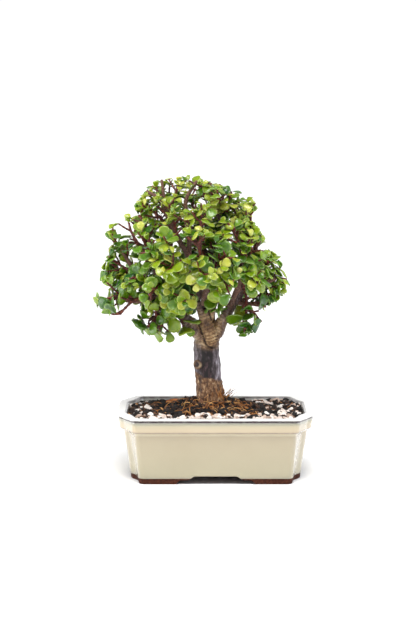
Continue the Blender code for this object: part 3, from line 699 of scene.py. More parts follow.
def on_bed(x, y, room):
    """Whether a place measured from the pot's middle is clear of the walls and of the trunk."""
    side_end, bend, end_start = corner_points(BED_INSET)
    out_x, out_y = abs(x) + room, abs(y) + room
    if out_x > end_start[0] or out_y > side_end[1]:
        return False
    if beyond(side_end, bend, out_x, out_y) and beyond(bend, end_start, out_x, out_y):
        return False
    return from_trunk(x, y) > TRUNK_FOOT + room


def above_mix(x, y, height):
    return POT_MIDDLE + Vector((x, y, soil_height(x, y) + height))


def strew(rng, count, sizes, stretches, flat, density):
    """Seeded placements on the bed: sizes in millimetres, density the chance that a place is taken."""
    placements = []
    while len(placements) < count:
        x = rng.uniform(-RIM_HALF_X, RIM_HALF_X)
        y = rng.uniform(-RIM_HALF_Y, RIM_HALF_Y)
        size = rng.uniform(*sizes) * rng.uniform(0.7, 1.0) * MM
        if rng.random() > density(x, y) or not on_bed(x, y, size):
            continue
        place = above_mix(x, y, rng.uniform(0.0, 0.7) * size * flat + 0.3 * MM)
        turn = Matrix.Rotation(rng.uniform(0, math.tau), 4, "Z")
        turn = turn @ Matrix.Rotation(rng.uniform(-0.8, 0.8), 4, "Y")
        stretch = Matrix.Diagonal((size * rng.uniform(*stretches), size, size * flat, 1))
        matrix = Matrix.Translation(place) @ turn @ stretch
        placements.append((rng.randrange(STONE_KINDS), matrix, rng.random()))
    return placements


def near_trunk(x, y):
    return hill(from_trunk(x, y), 42 * MM)


def pumice_density(x, y):
    """Pumice lies thickest along the front and at the right, and thin at the left and round the trunk."""
    front = hill(y + 66 * MM, 17 * MM)
    right = clamp((x + 10 * MM) / (70 * MM))
    return 0.12 + 1.0 * front + 0.05 * right - 0.55 * near_trunk(x, y)


def chip_density(x, y):
    return 0.5 + 0.2 * near_trunk(x, y)


def everywhere(x, y):
    return 1.0


rng = random.Random(7)
stones = [rough_stone(seed, 2, 0.32) for seed in range(STONE_KINDS)]
crumbs = [rough_stone(seed + 10, 1, 0.4) for seed in range(STONE_KINDS)]
pumice_places = strew(rng, 265, sizes=(2.0, 4.3), stretches=(1.0, 1.5), flat=0.9, density=pumice_density)
crumb_places = strew(rng, 2000, sizes=(1.1, 3.9), stretches=(1.0, 1.8), flat=0.9, density=everywhere)
chip_places = strew(rng, 420, sizes=(0.9, 2.2), stretches=(1.8, 4.0), flat=0.45, density=chip_density)

# %% [markdown]
# **Pumice, crumbs and bark chips.** Pumice is a white volcanic glass froth, stained pinkish by
# the mix, so its bump is fine pits. The crumbs are the same bark as the bed. The chips are fresh
# pine bark: orange brown, with long grain.

# %% The lumps' materials


def stone_material(name, roughness, pits_per_metre, pit_strength, *stops):
    """A dull material coloured by each copy's tone and by a noise about a millimetre wide."""
    material = new_material(name, Roughness=roughness)
    place = object_place(material)
    shift = times_plus(material, speckle(material, place, 650.0, 3.0), 0.5, stored(material, "tone"))
    colour = ramp(material, rescaled(material, shift, 0.15, 1.35), *stops)
    pits = add_node(material, "ShaderNodeTexVoronoi", {"Vector": place, "Scale": pits_per_metre})
    dress(material, colour, relief(material, pits.outputs["Distance"], pit_strength, 0.0005))
    return material


pumice_colours = ((0.0, "#7A6558"), (0.2, "#BDA494"), (0.5, "#E0D2C8"), (1.0, "#F4EFEA"))
crumb_colours = ((0.0, "#070504"), (0.5, "#17100D"), (0.75, "#3A251A"), (1.0, "#7E5538"))
chip_colours = ((0.0, "#2A1811"), (0.25, "#6E4324"), (0.6, "#AD7038"), (1.0, "#DBA468"))
pumice_stone = stone_material("stained_white_pumice", 0.9, 1500.0, 0.7, *pumice_colours)
bark_crumb = stone_material("dark_bark_crumb", 0.9, 900.0, 0.6, *crumb_colours)
pine_bark = stone_material("orange_pine_bark_chip", 0.8, 700.0, 0.5, *chip_colours)
finish_piece(many("pumice", stones, pumice_places), "pumice_lumps", pumice_stone, "potting_mix")
finish_piece(many("crumbs", crumbs, crumb_places), "bark_crumbs", bark_crumb, "potting_mix")
finish_piece(many("chips", crumbs, chip_places), "bark_chips", pine_bark, "potting_mix")

# %% [markdown]
# **Fibres and a strip of bark.** Old roots and coir fibres lie round the foot of the trunk, and
# one long strip of bark lies to its left. Each is a tube along a line, which is what Blender's
# curve with a round bevel makes; it is then converted to a mesh.

# %% Tubes along lines


def tubes(name, lines, resolution):
    """Round tapering tubes along lines of (place in metres, radius in millimetres)."""
    curve = bpy.data.curves.new(name, "CURVE")
    curve.dimensions = "3D"
    curve.bevel_depth = MM
    curve.bevel_resolution = resolution
    curve.use_fill_caps = True
    for line in lines:
        spline = curve.splines.new("POLY")
        spline.points.add(len(line) - 1)
        for knot, (place, radius) in zip(spline.points, line):
            knot.co = (*place, 1)
            knot.radius = radius
    obj = bpy.data.objects.new(name, curve)
    bpy.context.scene.collection.objects.link(obj)
    pick(obj)
    bpy.ops.object.convert(target="MESH")
    return bpy.context.object


def vary_tone(obj, width):
    """Stores a tone on each point that drifts over a width in metres, for stone_material to read."""
    attribute = obj.data.attributes.new("tone", "FLOAT", "POINT")
    for value, vert in zip(attribute.data, obj.data.vertices):
        value.value = clamp(0.5 + 1.1 * noise.noise(vert.co / width))


# %% Fibres on the mix
FIBRES = 190
FEEDER_ROOTS = 90
WISPS = 9
KNOTS = 6  # points along each of them

rng = random.Random(19)
fibre_lines = []
while len(fibre_lines) < FIBRES:
    angle = rng.uniform(0, math.tau)
    away = (15 + abs(rng.gauss(0, 24))) * MM
    x = TRUNK_MIDDLE[0] + away * math.cos(angle)
    y = TRUNK_MIDDLE[1] + away * math.sin(angle)
    heading = rng.uniform(0, math.tau)
    step = rng.uniform(2.0, 4.4) * MM
    radius = rng.uniform(0.26, 0.6)
    arch = rng.uniform(1.6, 4.8) * MM
    line = []
    for knot in range(KNOTS):
        if not on_bed(x, y, 1.5 * MM):
            break
        rise = arch * math.sin(math.pi * knot / (KNOTS - 1))
        line.append((above_mix(x, y, 0.5 * MM + rise), radius * (1.1 - 0.12 * knot)))
        heading += rng.uniform(-0.6, 0.6)
        x += step * math.cos(heading)
        y += step * math.sin(heading)
    if len(line) == KNOTS:
        fibre_lines.append(line)
for number in range(FEEDER_ROOTS):
    # Old feeder roots that cling to the foot of the trunk, most of them at its right
    angle = math.radians(rng.gauss(-25, 45))
    height = rng.uniform(76, 99 - 6 * abs(angle)) * MM
    away = (12.6 + 0.03 * (100 * MM - height) / MM) * MM
    line = []
    for knot in range(KNOTS):
        out = Vector((away * math.cos(angle), away * math.sin(angle), height))
        place = POT_MIDDLE + Vector((*TRUNK_MIDDLE, 0)) + out
        line.append((place, rng.uniform(0.25, 0.5) * (1.1 - 0.1 * knot)))
        angle += rng.uniform(-0.12, 0.12)
        height -= rng.uniform(-0.4, 3.2) * MM
        away += rng.uniform(-0.2, 1.3) * MM
    fibre_lines.append(line)
for number in range(WISPS):
    # Dry wisps that stand up from the mix at the right of the trunk
    x = rng.uniform(14, 20) * MM + TRUNK_MIDDLE[0]
    y = rng.uniform(-9, 5) * MM + TRUNK_MIDDLE[1]
    lean = rng.uniform(0.2, 1.0)
    tall = rng.uniform(7, 13) * MM
    line = []
    for knot in range(KNOTS):
        share = knot / (KNOTS - 1)
        upright = above_mix(x, y, tall * share)
        line.append((upright + Vector((lean * tall * share**1.7, 0, 0)), 0.42 - 0.2 * share))
    fibre_lines.append(line)
fibres = tubes("fibres", fibre_lines, 0)

STRIP_KNOTS = 9
strip_line = []
for knot in range(STRIP_KNOTS):
    share = knot / (STRIP_KNOTS - 1)
    x = (-52 + 31 * share) * MM
    y = (28 - 9 * share) * MM
    bend = 1.2 * MM * math.sin(7 * share)
    place = above_mix(x, y, 2.8 * MM) + Vector((0, bend, bend))
    strip_line.append((place, 2.9 - 1.6 * abs(share - 0.4)))
strip = tubes("strip", [strip_line], 1)
vary_tone(fibres, 7 * MM)
vary_tone(strip, 5 * MM)
fibre_colours = ((0.0, "#4E2A14"), (0.45, "#A2662F"), (1.0, "#DFAE70"))
strip_colours = ((0.0, "#4A220E"), (0.45, "#A65A26"), (1.0, "#D98F55"))
dry_fibre = stone_material("dry_root_fibre", 0.85, 900.0, 0.3, *fibre_colours)
inner_bark = stone_material("orange_inner_bark", 0.8, 700.0, 0.4, *strip_colours)
finish_piece(fibres, "root_fibres", dry_fibre, "potting_mix")
finish_piece(strip, "strip_of_bark", inner_bark, "potting_mix")

# %% [markdown]
# ## The wood
#
# The trunk and its limbs are one piece of wood. Their ways were measured on the photograph and
# are given here as points: x, y, height and radius in millimetres from the middle of the pot.
# The same numbers drive the solid model, so the two agree. Each leafy spray is given by the
# point where it ends; a rule below finds the limb that it grows from and the arch between them.

# %% The ways of the wood
TRUNK = (
    (-6, 0, 48, 14.0), (-6, 0, 87, 14.0), (-7, 0, 100, 13.5), (-8.4, 0, 114, 14.1),
    (-9.3, 0, 126, 13.3), (-9.5, 0, 132, 13.7), (-9.5, 0, 135, 13.0), (-9.3, 0, 138, 13.8),
    (-9.0, 0, 141, 13.1), (-8.6, 0, 145, 13.8), (-8.2, 0, 153, 11.6), (-7.8, 0, 160, 7.5),
)

# Limbs in the same way, from where each leaves the wood that carries it
LIMBS = {
    "left": ((-11, 0, 142, 9.5), (-19, -2, 152, 8.0), (-27, -4, 160, 6.3), (-33.5, -5.5, 167, 4.7)),
    "left_low": ((-29, -5, 163, 3.2), (-41, -9, 169, 2.8), (-58, -12, 168, 2.3), (-70, -14, 166, 1.9)),
    "middle": (
        (-8, -2, 149, 8.0), (-12, -5, 166.5, 5.0), (-17.4, -8, 180.4, 4.3), (-21.6, -10, 191, 3.7),
        (-27, -10, 210, 3.3), (-28, -8, 229, 3.0), (-35.4, -6, 242, 2.7), (-46, -5, 258, 2.3),
        (-52.3, -5, 284, 2.0), (-56, -5, 310, 1.6),
    ),
    "back": (
        (-6, 3, 151, 7.0), (-5, 10, 171, 4.6), (-3, 18, 193, 4.0), (-2, 22, 223, 3.4),
        (5, 20, 248, 2.9), (10, 15, 265, 2.4), (5, 12, 287, 1.9),
    ),
    "right": (
        (-1, 0, 148, 9.0), (6, -1, 160, 6.6), (13, -2, 171, 5.2), (20.6, -3, 184, 4.6),
        (29, -4, 196.5, 3.8), (33, -4, 210, 3.2), (28, -3, 231, 2.8), (31, -2, 255, 2.3),
        (33, -2, 275, 1.8),
    ),
    "right_out": ((29, -4, 195, 3.0), (43, -6, 198.5, 2.8), (54, -8, 203.5, 2.4), (63, -9, 207, 1.9)),
    "right_low": ((21, -3.5, 181, 2.4), (36, -8, 180.3, 1.9), (53, -12, 178, 1.5)),
    "far_left": (
        (-21, -9.5, 190, 3.5), (-45, -16, 199, 3.2), (-62, -18, 205, 3.0), (-76, -20, 211, 2.7),
        (-86, -20, 219.5, 2.4), (-93, -20, 231, 2.1), (-101, -20, 243, 1.7),
    ),
    "left_mid": ((-66, -18.5, 206.5, 2.4), (-82, -14, 210, 2.1), (-98, -12, 212, 1.6)),
    "left_droop": ((-45, -16, 199, 2.6), (-62, -24, 190, 2.3), (-80, -27, 185, 2.0), (-98, -28, 187, 1.6)),
    "left_up": ((-61, -17.5, 204.5, 2.7), (-65, -14, 228, 2.4), (-72, -12, 243, 2.1), (-78, -10, 259, 1.7)),
    "front": (
        (-14, -6, 173, 4.0), (-11, -24, 193, 3.2), (-9, -40, 209, 2.8), (-14, -51, 229, 2.3),
        (-18, -52, 249, 1.8),
    ),
    "front_right": ((14, -2, 173, 3.6), (20, -18, 192, 2.9), (26, -32, 209, 2.4), (30, -40, 229, 1.8)),
    "front_left": (
        (-33, -14, 194.5, 2.8), (-40, -34, 206, 2.4), (-48, -46, 221, 2.1), (-50, -46, 243, 1.7),
    ),
    "back_left": ((-5, 11, 173, 4.0), (-25, 30, 200, 3.2), (-50, 41, 217, 2.6), (-67, 44, 239, 1.9)),
    "back_right": ((-3, 18, 192, 3.6), (15, 34, 208, 3.0), (35, 43, 224, 2.4), (46, 43, 243, 1.8)),
    "back_high": ((-2, 22, 217, 3.0), (-14, 38, 238, 2.5), (-20, 44, 261, 1.8)),
}


# Where each leafy spray ends: x, y and height in millimetres, and the size of its leaves
SPRAY_TIPS = (
    (-62, 8, 301, 0.9), (-38, 4, 306, 0.9), (-20, -10, 305, 0.9), (15, -6, 293, 1.0), (34, 6, 282, 1.0),
    (38, -16, 265, 1.0), (47, 2, 246, 1.0), (59, -8, 229, 1.05), (74, -6, 206, 1.05), (62, 6, 189, 1.0),
    (48, -17, 160, 1.05), (30, -12, 151, 1.05), (-75, -3, 286, 1.0), (-90, -6, 265, 1.0),
    (-112, -20, 254, 0.95), (-112, -14, 233, 1.0), (-115, -8, 210, 1.0), (-121, -30, 184, 1.0),
    (-100, -42, 171, 1.0), (-76, -18, 150, 1.0), (-33, -12, 155, 1.3), (-88, -46, 211, 1.05),
    (-72, -52, 241, 1.05), (-68, -58, 195, 1.05), (-46, -54, 265, 1.05), (-44, -70, 229, 1.05),
    (-38, -60, 191, 1.05), (-14, -46, 282, 1.05), (-18, -72, 253, 1.05), (-16, -76, 218, 1.05),
    (12, -42, 268, 1.05), (12, -68, 239, 1.05), (16, -66, 205, 1.05), (38, -44, 245, 1.05),
    (42, -50, 213, 1.05), (-92, 30, 241, 1.0), (-86, 40, 205, 1.0), (-58, 44, 269, 1.0),
    (-62, 62, 217, 1.0), (-28, 50, 289, 1.0), (-30, 72, 229, 1.0), (4, 48, 283, 1.0), (4, 72, 208, 1.0),
    (8, 68, 247, 1.0), (34, 50, 265, 1.0), (52, 56, 229, 1.0), (44, 46, 193, 1.0),
)
CROWN_MIDDLE = Vector((-24, 0, 208))
CROWN_HALF = Vector((105, 85, 108))
print(f"{len(LIMBS)} limbs carry {len(SPRAY_TIPS)} sprays")

# %% [markdown]
# A branch leaves its limb in the limb's own direction and bends up to its tip, as a shoot does
# that grows to the light. If the arch comes too close to other wood, the next one is tried.

# %% From a tip back to its limb
# Lengths in millimetres. A spray grows from wood no thicker than THICKEST_CARRIER, about REACH
# away from its tip, and each way back against the limb's growth costs it up to TURN_COST
REACH = 46
THICKEST_CARRIER = 4.2
TURN_COST = 16
# The branch carries the spray's stem from its seat on; the stem is no longer than SPRAY_LENGTH
SPRAY_LENGTH = 44
THICKEST_BRANCH = 2.3
SEAT_RADIUS = 1.6
SEAT_GAP = 0.45
STEM_RADIUS = 1.45
BRANCH_POINTS = 7
STEM_POINTS = 5
ARCH_POINTS = 25
STEM_CLEARANCE = 0.7
# Arches and seats that are tried until the spray is clear of other wood
BOWS = 12
SEATS_TRIED = 4
SEAT_SHIFT = 3.5


def path_lengths(points):
    lengths = [0.0]
    for a, b in zip(points, points[1:]):
        lengths.append(lengths[-1] + (b - a).length)
    return lengths


def path_at(points, distance):
    """The place and the direction at a distance along a path."""
    lengths = path_lengths(points)
    for i in range(len(points) - 1):
        if distance <= lengths[i + 1] or i == len(points) - 2:
            span = lengths[i + 1] - lengths[i]
            share = clamp((distance - lengths[i]) / span)
            return points[i].lerp(points[i + 1], share), (points[i + 1] - points[i]).normalized()


def sub_path(points, first, last, count):
    return [path_at(points, first + (last - first) * i / (count - 1))[0] for i in range(count)]


def limb_samples():
    """Points about 3 mm apart along every limb: place, direction and radius."""
    samples = []
    for limb in LIMBS.values():
        for first, second in zip(limb, limb[1:]):
            a, b = Vector(first[:3]), Vector(second[:3])
            steps = max(int((b - a).length / 3), 1)
            for i in range(steps):
                share = i / steps
                radius = first[3] + (second[3] - first[3]) * share
                samples.append((a.lerp(b, share), (b - a).normalized(), radius))
    return samples


def root_of(tip, samples):
    """The point of the limbs that a spray ending at tip grows from."""
    best = None
    for place, direction, radius in samples:
        if radius > THICKEST_CARRIER:
            continue
        way = tip - place
        turn = 1 - way.normalized().dot(direction)
        cost = abs(way.length - REACH) + TURN_COST * turn
        if best is None or cost < best[0]:
            best = (cost, place, direction, radius)
    return best[1:]


def bent_path(root, tip, direction, bow):
    """An arched way from the limb to the tip that starts out along the limb's growth."""
    way = tip - root
    length = way.length
    lift = 0.16 * length if way.z > -5 else 0.34 * length
    middle = root + way * 0.45 + Vector((0, 0, lift)) + direction * 0.12 * length + bow
    points = []
    for i in range(ARCH_POINTS):
        t = i / (ARCH_POINTS - 1)
        points.append(root * (1 - t) ** 2 + middle * 2 * t * (1 - t) + tip * t**2)
    return points


def too_near(points, radius, obstacles):
    for place, other in obstacles:
        limit = (radius + other + STEM_CLEARANCE) ** 2
        for point in points:
            if (point - place).length_squared < limit:
                return True
    return False


def outward_at(place):
    """The way out of the crown at a place, as from the middle of an egg."""
    away = place - CROWN_MIDDLE
    return Vector(away[i] / CROWN_HALF[i] ** 2 for i in range(3)).normalized()


def branch_and_stem(tip, samples, wood, stems):
    root, direction, limb_radius = root_of(tip, samples)
    way = (tip - root).normalized()
    across = way.cross(direction + Vector((0.01, 0.02, 0.03))).normalized()
    upward = across.cross(way)
    for attempt in range(BOWS * SEATS_TRIED):
        turns, shifts = divmod(attempt, SEATS_TRIED)
        angle = math.radians(75 * turns)
        bow = (across * math.cos(angle) + upward * math.sin(angle)) * 1.6 * turns
        path = bent_path(root, tip, direction, bow)
        total = path_lengths(path)[-1]
        seat = max(limb_radius + SEAT_SHIFT, total - SPRAY_LENGTH) + SEAT_SHIFT * shifts
        branch = sub_path(path, 0, seat, BRANCH_POINTS)
        stem = sub_path(path, seat + SEAT_GAP, total, STEM_POINTS)
        along_stem = sub_path(stem, 0, path_lengths(stem)[-1], 12)
        if too_near(branch[1:], SEAT_RADIUS, stems):
            continue
        if not too_near(along_stem, STEM_RADIUS, wood + stems):
            break
    return branch, stem, limb_radius


# More sprays fill the crown from the sides; the solid model leaves them out for lightness
FILLING_TIPS = (
    (-48, -28, 288, 1.0), (-32, -30, 274, 1.0), (-20, 24, 298, 0.95), (8, 22, 294, 0.95),
    (2, -24, 290, 1.0), (-50, 24, 290, 0.95), (30, 26, 276, 1.0), (-82, 14, 262, 1.0),
    (-80, -30, 258, 1.0), (54, 26, 232, 1.0), (26, -26, 262, 1.0), (-40, 26, 262, 1.0),
    (-62, -22, 180, 1.0), (-48, -16, 178, 0.95), (-74, -14, 188, 1.0), (-2, -20, 190, 1.21),
    (20, -20, 196, 1.21), (7, -14, 176, 1.21), (-8, 32, 262, 1.0), (-30, 30, 246, 1.0),
    (-56, -12, 150, 1.08), (-37, -13, 155, 1.21), (-118, -2, 174, 1.05), (33, -6, 286, 1.0),
    (-86, -4, 277, 1.0), (-77, -6, 157, 1.0), (62, -4, 183, 1.0), (-104, -8, 208, 1.0),
)
samples = limb_samples()
wood = [(place, radius) for place, direction, radius in samples]
stems = []
sprays = []
for x, y, z, size in SPRAY_TIPS + FILLING_TIPS:
    branch, stem, limb_radius = branch_and_stem(Vector((x, y, z)), samples, wood, stems)
    wood = wood + [(point, SEAT_RADIUS) for point in branch]
    stems = stems + [(point, STEM_RADIUS) for point in sub_path(stem, 0, path_lengths(stem)[-1], 14)]
    sprays.append({"branch": branch, "stem": stem, "limb_radius": limb_radius})
print(f"{len(sprays)} branches found their limbs")

# %% [markdown]
# The wood is drawn as tubes that overlap, then melted into one skin by a voxel Remesh, which
# rounds every fork as living wood is rounded. Joining them with a Boolean would leave a hard
# line at each fork. A Catmull-Rom curve first eases the corners between the measured points.

# %% One skin over trunk, limbs and branches
VOXEL = 0.82 * MM


def to_world(point):
    return POT_MIDDLE + Vector(point[:3]) * MM


def eased(points, steps=4):
    """The same way with rounder turns, for points of x, y, height and radius."""
    rows = [np.array(p, float) for p in points]
    rows = [2 * rows[0] - rows[1], *rows, 2 * rows[-1] - rows[-2]]
    way = []
    for a, b, c, d in zip(rows, rows[1:], rows[2:], rows[3:]):
        for step in range(steps):
            t = step / steps
            curved = (2 * a - 5 * b + 4 * c - d) * t**2 + (3 * b - a - 3 * c + d) * t**3
            way.append(0.5 * (2 * b + (c - a) * t + curved))
    return [*way, rows[-2]]


def line_of(points):
    return [(to_world(p), max(p[3], 0.5)) for p in points]


# Cut stubs that stand out of the top of the crown, in the same measure as the limbs
STUBS = (
    ((-34, -6, 240, 2.4), (-50, -9, 272, 2.3), (-58, -10, 290, 2.2), (-72, -10, 298, 1.9)),
    ((-27, -8, 228, 2.6), (-28, -8, 262, 2.4), (-31, -9, 288, 2.2), (-19, -9, 309, 1.9)),
    ((8, 10, 262, 2.4), (-2, 2, 282, 2.2), (-7, -6, 297, 2.1), (-5, -8, 307, 1.8)),
    # The thick stump of a limb that was cut back at the left of the fork
    ((-14, -4, 147, 8.8), (-22, -5, 156, 7.4), (-30, -5.5, 163.5, 6.6), (-35, -6, 168, 5.8)),
)
# The middle limb's swollen foot, which lies over the front of the trunk, and a short arm above it
COLLAR = (
    (-17.4, -9, 180, 4.4), (-12.5, -9, 168, 5.6), (-9, -9.5, 158, 6.5), (-6, -9.6, 149, 7.2),
    (-3.6, -9.4, 140.5, 7.0),
)
ARM = (
    (-7, -7, 163, 4.6), (-3.5, -7, 175, 3.9), (0.5, -6, 187, 3.4), (1.5, -3, 199, 2.8), (0, 2, 212, 2.2),
)
# Healed knobs: middle, the way each faces, and radius
KNOBS = (
    ((-16.6, -8.4, 116.5), (-0.66, -0.74, 0.1), 5.2),
    ((-33.5, -6.5, 166.5), (-0.7, -0.35, 0.6), 6.2),
    ((2.0, -6.0, 146), (0.6, -0.7, 0.2), 3.2),
    ((-1.0, 12.0, 123), (0.3, 0.9, 0.1), 3.6),
    ((5.6, -6.0, 88.0), (0.8, -0.6, 0.0), 2.6),
)
# A knob's own line, in radii: how far out each point lies and how thick the knob is there
KNOB_LINE = ((-1.2, 0.8), (0, 1.0), (0.75, 0.7))
collar_line = line_of(eased(COLLAR))
limb_lines = [line_of(eased(path)) for path in (TRUNK, *LIMBS.values(), *STUBS, ARM)] + [collar_line]
knob_lines = []
for middle, facing, radius in KNOBS:
    out = Vector(facing).normalized()
    knob = [(*(Vector(middle) + out * radius * step), radius * wide) for step, wide in KNOB_LINE]
    knob_lines.append(line_of(knob))
branch_lines = []
for spray in sprays:
    first = min(0.7 * spray["limb_radius"], THICKEST_BRANCH)
    radii = [first + (SEAT_RADIUS - first) * i / (BRANCH_POINTS - 1) for i in range(BRANCH_POINTS)]
    branch_lines.append(line_of([(*p, r) for p, r in zip(spray["branch"], radii)]))
trunk = tubes("trunk_skin", limb_lines + knob_lines + branch_lines, 4)
apply_modifier(trunk, "REMESH", mode="VOXEL", voxel_size=VOXEL)
apply_modifier(trunk, "SMOOTH", factor=0.5, iterations=3)
print("wood:", len(trunk.data.polygons), "faces")

# %% [markdown]
# **Relief.** Elephant bush bark is ringed: each leaf pair leaves a scar round its stem, and where
# a limb swells out of the trunk the scars crowd into wrinkles. A ring has to lie square across
# its own limb, so each point of the skin looks up the nearest limb and how far along it lies.
# Every point is then moved along its normal, and five numbers are stored on it for the colours:
# how old the wood is, how warm, how much painted shade it gets in a hollow, groove or crease, how
# near the foot and how dark its stain.

# %% Which limb a point belongs to
carriers = []
for line_number, line in enumerate(limb_lines + branch_lines):
    along = 0.0
    for (place, radius), (after, _) in zip(line, line[1:]):
        carriers.append((place, radius, along, (after - place).normalized(), line_number))
        along += (after - place).length
nearest_carrier = kdtree.KDTree(len(carriers))
for number, carrier in enumerate(carriers):
    nearest_carrier.insert(carrier[0], number)
nearest_carrier.balance()
COLLAR_LINE = limb_lines.index(collar_line)
COLLAR_TOP = 0.176
MIDDLE_LINE = 1 + list(LIMBS).index("middle")
NEIGHBOURS = 26
# The collar counts as nearer than it is. Where it and other wood count almost alike lies the crease
COLLAR_SHARE = 0.85
CREASE_RANGE = 0.00022


def limb_at(place):
    """The radius of the limb round a place, how far along it the place lies, and how near the fork."""
    best = {}
    for _, number, distance in nearest_carrier.find_n(place, NEIGHBOURS):
        radius, line_number = carriers[number][1], carriers[number][4]
        if line_number == MIDDLE_LINE and place.z < COLLAR_TOP:
            continue
        score = distance / radius * (COLLAR_SHARE if line_number == COLLAR_LINE else 1.0)
        if line_number not in best or score < best[line_number][0]:
            best[line_number] = (score, number)
    ranked = sorted(best.values())
    middle, radius, along, way, _ = carriers[ranked[0][1]]
    fork = 0.0
    if len(ranked) > 1 and COLLAR_LINE in (carriers[ranked[0][1]][4], carriers[ranked[1][1]][4]):
        fork = 1 - between(ranked[1][0] - ranked[0][0], 0.0, CREASE_RANGE)
    return radius, (along + (place - middle).dot(way)) / MM, fork


# %% Rings, wrinkles and knot holes
KNOT_HOLE = to_world((-19.8, -12.6, 117.2))
STUB_END = to_world((-37.5, -7.0, 170.0))
FORK = to_world((-7.0, -9.0, 158.0))
COLLAR_FOOT = to_world((-3.6, -15.0, 138.0))
BASE_KNOT = to_world((7.2, -7.2, 88.0))


def bump_at(place, middle, reach):
    return hill((place - middle).length, reach * MM)


def bark_at(place):
    """How far the bark stands out at a place in millimetres, and its five marks."""
    x, y, z = (place - POT_MIDDLE) / MM
    radius, along, fork = limb_at(place)
    fork *= between(x, 4, -4)
    old = between(radius, 1.8, 6.5)
    swirl = noise.noise(Vector((x, y, 0.4 * z)) / 6.5)
    lumps = noise.noise(place / (4.5 * MM))
    fine = noise.noise(place / (1.8 * MM))

    # Rings lie square across each limb, crowd on the collar and leave the trunk's middle plain
    spacing = 3.3 if radius < 10 else 4.2
    groove = max(0.0, math.cos(math.tau * (along + 1.1 * swirl) / spacing)) ** 3
    collar = bump_at(place, COLLAR_FOOT, 12) * between(z, 130, 137)
    ring_depth = 0.10 + 0.42 * between(radius, 2.5, 6.0) * (1 - between(radius, 9, 12)) + 0.55 * collar
    if radius > 10 and z < 128:
        ring_depth = 0.0

    # The foot was under the mix once and is shredded
    foot_line = 101.5 - 0.36 * x + 3.5 * swirl + 1.2 * fine
    foot = between(z, foot_line, foot_line - 2.5) if z < 118 else 0.0
    shreds = noise.noise(Vector((x, y, 0.5 * z)) / 1.7)
    shreds += 0.8 * noise.noise(Vector((x / 5, y / 5, z)) / 1.3)

    # The knot has a raised rim round its hole, and an old seam runs up past it
    away = (place - KNOT_HOLE).length / MM
    hole = hill(away, 2.4)
    knot_rim = hill(away - 3.9, 1.2)
    stub_hole = bump_at(place, STUB_END, 2.6)
    seam = 0.0
    if 80 < z < 132 and y < 0:
        seam = hill(x + 15.5 + 1.5 * swirl, 1.3) * between(z, 84, 92) * between(z, 131, 122)
    out = 0.75 * old * swirl + 0.3 * lumps * (0.3 + old) - ring_depth * groove + 0.6 * foot * shreds
    out += 1.8 * knot_rim - 3.0 * hole - 1.7 * stub_hole - 0.45 * seam - 1.5 * fork + 0.5 * foot

    # Fresh cork is warm and the front of the trunk is stained; hollows, ring grooves and the fork's crease
    # get painted shade
    warm = bump_at(place, FORK, 20) * between(z, 131, 142) + 0.8 * bump_at(place, STUB_END, 10) + collar
    warm += 0.8 * knot_rim * (away < 6)
    warm += 0.9 * bump_at(place, BASE_KNOT, 3)
    stain = 0.3
    if y < 0:
        stain = between(x, -18, -13.5) * between(x, 0, -6) * between(z, 94, 102) * between(z, 141, 133)
    stain = clamp(stain * (1.35 + 0.8 * swirl + 1.2 * lumps)) * (1 - 0.7 * knot_rim)
    # Painted shade: the ring grooves, the knot hole, the stub's hole, the seam and the fork's crease are
    # darkened in colour
    ring_groove_shade = groove * (0.2 + 0.35 * between(radius, 3, 5) + 0.35 * collar) * (ring_depth > 0)
    hollow = max(hole, 0.9 * stub_hole, 0.45 * seam, ring_groove_shade, fork)
    return out, (old, min(warm + 0.35 * fine * warm, 1.0), hollow, foot, stain)


marks = []
moves = []
for vert in trunk.data.vertices:
    out, values = bark_at(vert.co)
    marks.append(values)
    moves.append(vert.normal * out * MM)
for vert, move in zip(trunk.data.vertices, moves):
    vert.co += move
marks = np.array(marks, np.float32)
for column, name in enumerate(("old", "warm", "hollow", "foot", "stain")):
    layer = trunk.data.attributes.new(name, "FLOAT", "POINT")
    layer.data.foreach_set("value", np.ascontiguousarray(marks[:, column]))
smooth(trunk, 80)

# %% [markdown]
# ** Bark.** Five barks run into each other. Young wood is red brown. Old bark is a lilac grey with
# streaks that run up the trunk, 1 to 4 mm wide. Round the fork and the cuts it is tan, where
# fresh cork shows. The front of the trunk has a stain that is nearly black, and the foot, which
# was under the mix once, is rough and brown. The stored numbers mix them one after another, and
# last a painted shade darkens the hollows, the ring grooves and the fork's crease.

# %% Ringed succulent bark
bark = new_material("ringed_succulent_bark", Roughness=0.7)
place = object_place(bark)
streaks = speckle(bark, object_place(bark, 0.3), 270.0, 7.0, 0.68)
shreds = speckle(bark, object_place(bark, 0.55), 330.0, 7.0, 0.8)
patches = speckle(bark, place, 110.0, 5.0, 0.65)
flecks = speckle(bark, place, 750.0, 4.0, 0.65)

# Each mark on the mesh with the pattern of its bark and the bark's colours
BARKS = (
    ("old", streaks, (0.34, "#221A1C"), (0.46, "#463B3F"), (0.56, "#71676D"), (0.68, "#B4ADB6")),
    ("stain", streaks, (0.36, "#0B0506"), (0.52, "#1D1013"), (0.63, "#4A3438"), (0.73, "#9A8284")),
    ("warm", patches, (0.33, "#3A2413"), (0.45, "#7C5A3A"), (0.57, "#B49268"), (0.7, "#DDC49C")),
    ("foot", shreds, (0.36, "#150B05"), (0.46, "#4E311C"), (0.56, "#8A6442"), (0.67, "#D4BC98")),
    # Not a bark: painted shade that darkens the hollows, ring grooves and the fork's crease
    ("hollow", flecks, (0.2, "#120B09"), (0.8, "#2C1D16")),
)
colour = ramp(bark, flecks, (0.3, "#3C2620"), (0.5, "#664538"), (0.65, "#87654F"), (0.8, "#AC8A70"))
for mark_name, pattern, *stops in BARKS:
    colour = blend_colours(bark, stored(bark, mark_name), colour, ramp(bark, pattern, *stops))
dress(bark, colour, relief(bark, flecks, 0.4, 0.0005, over=relief(bark, streaks, 0.5, 0.0009)))
finish_piece(trunk, "trunk_and_limbs", bark, "bark", "trunk")

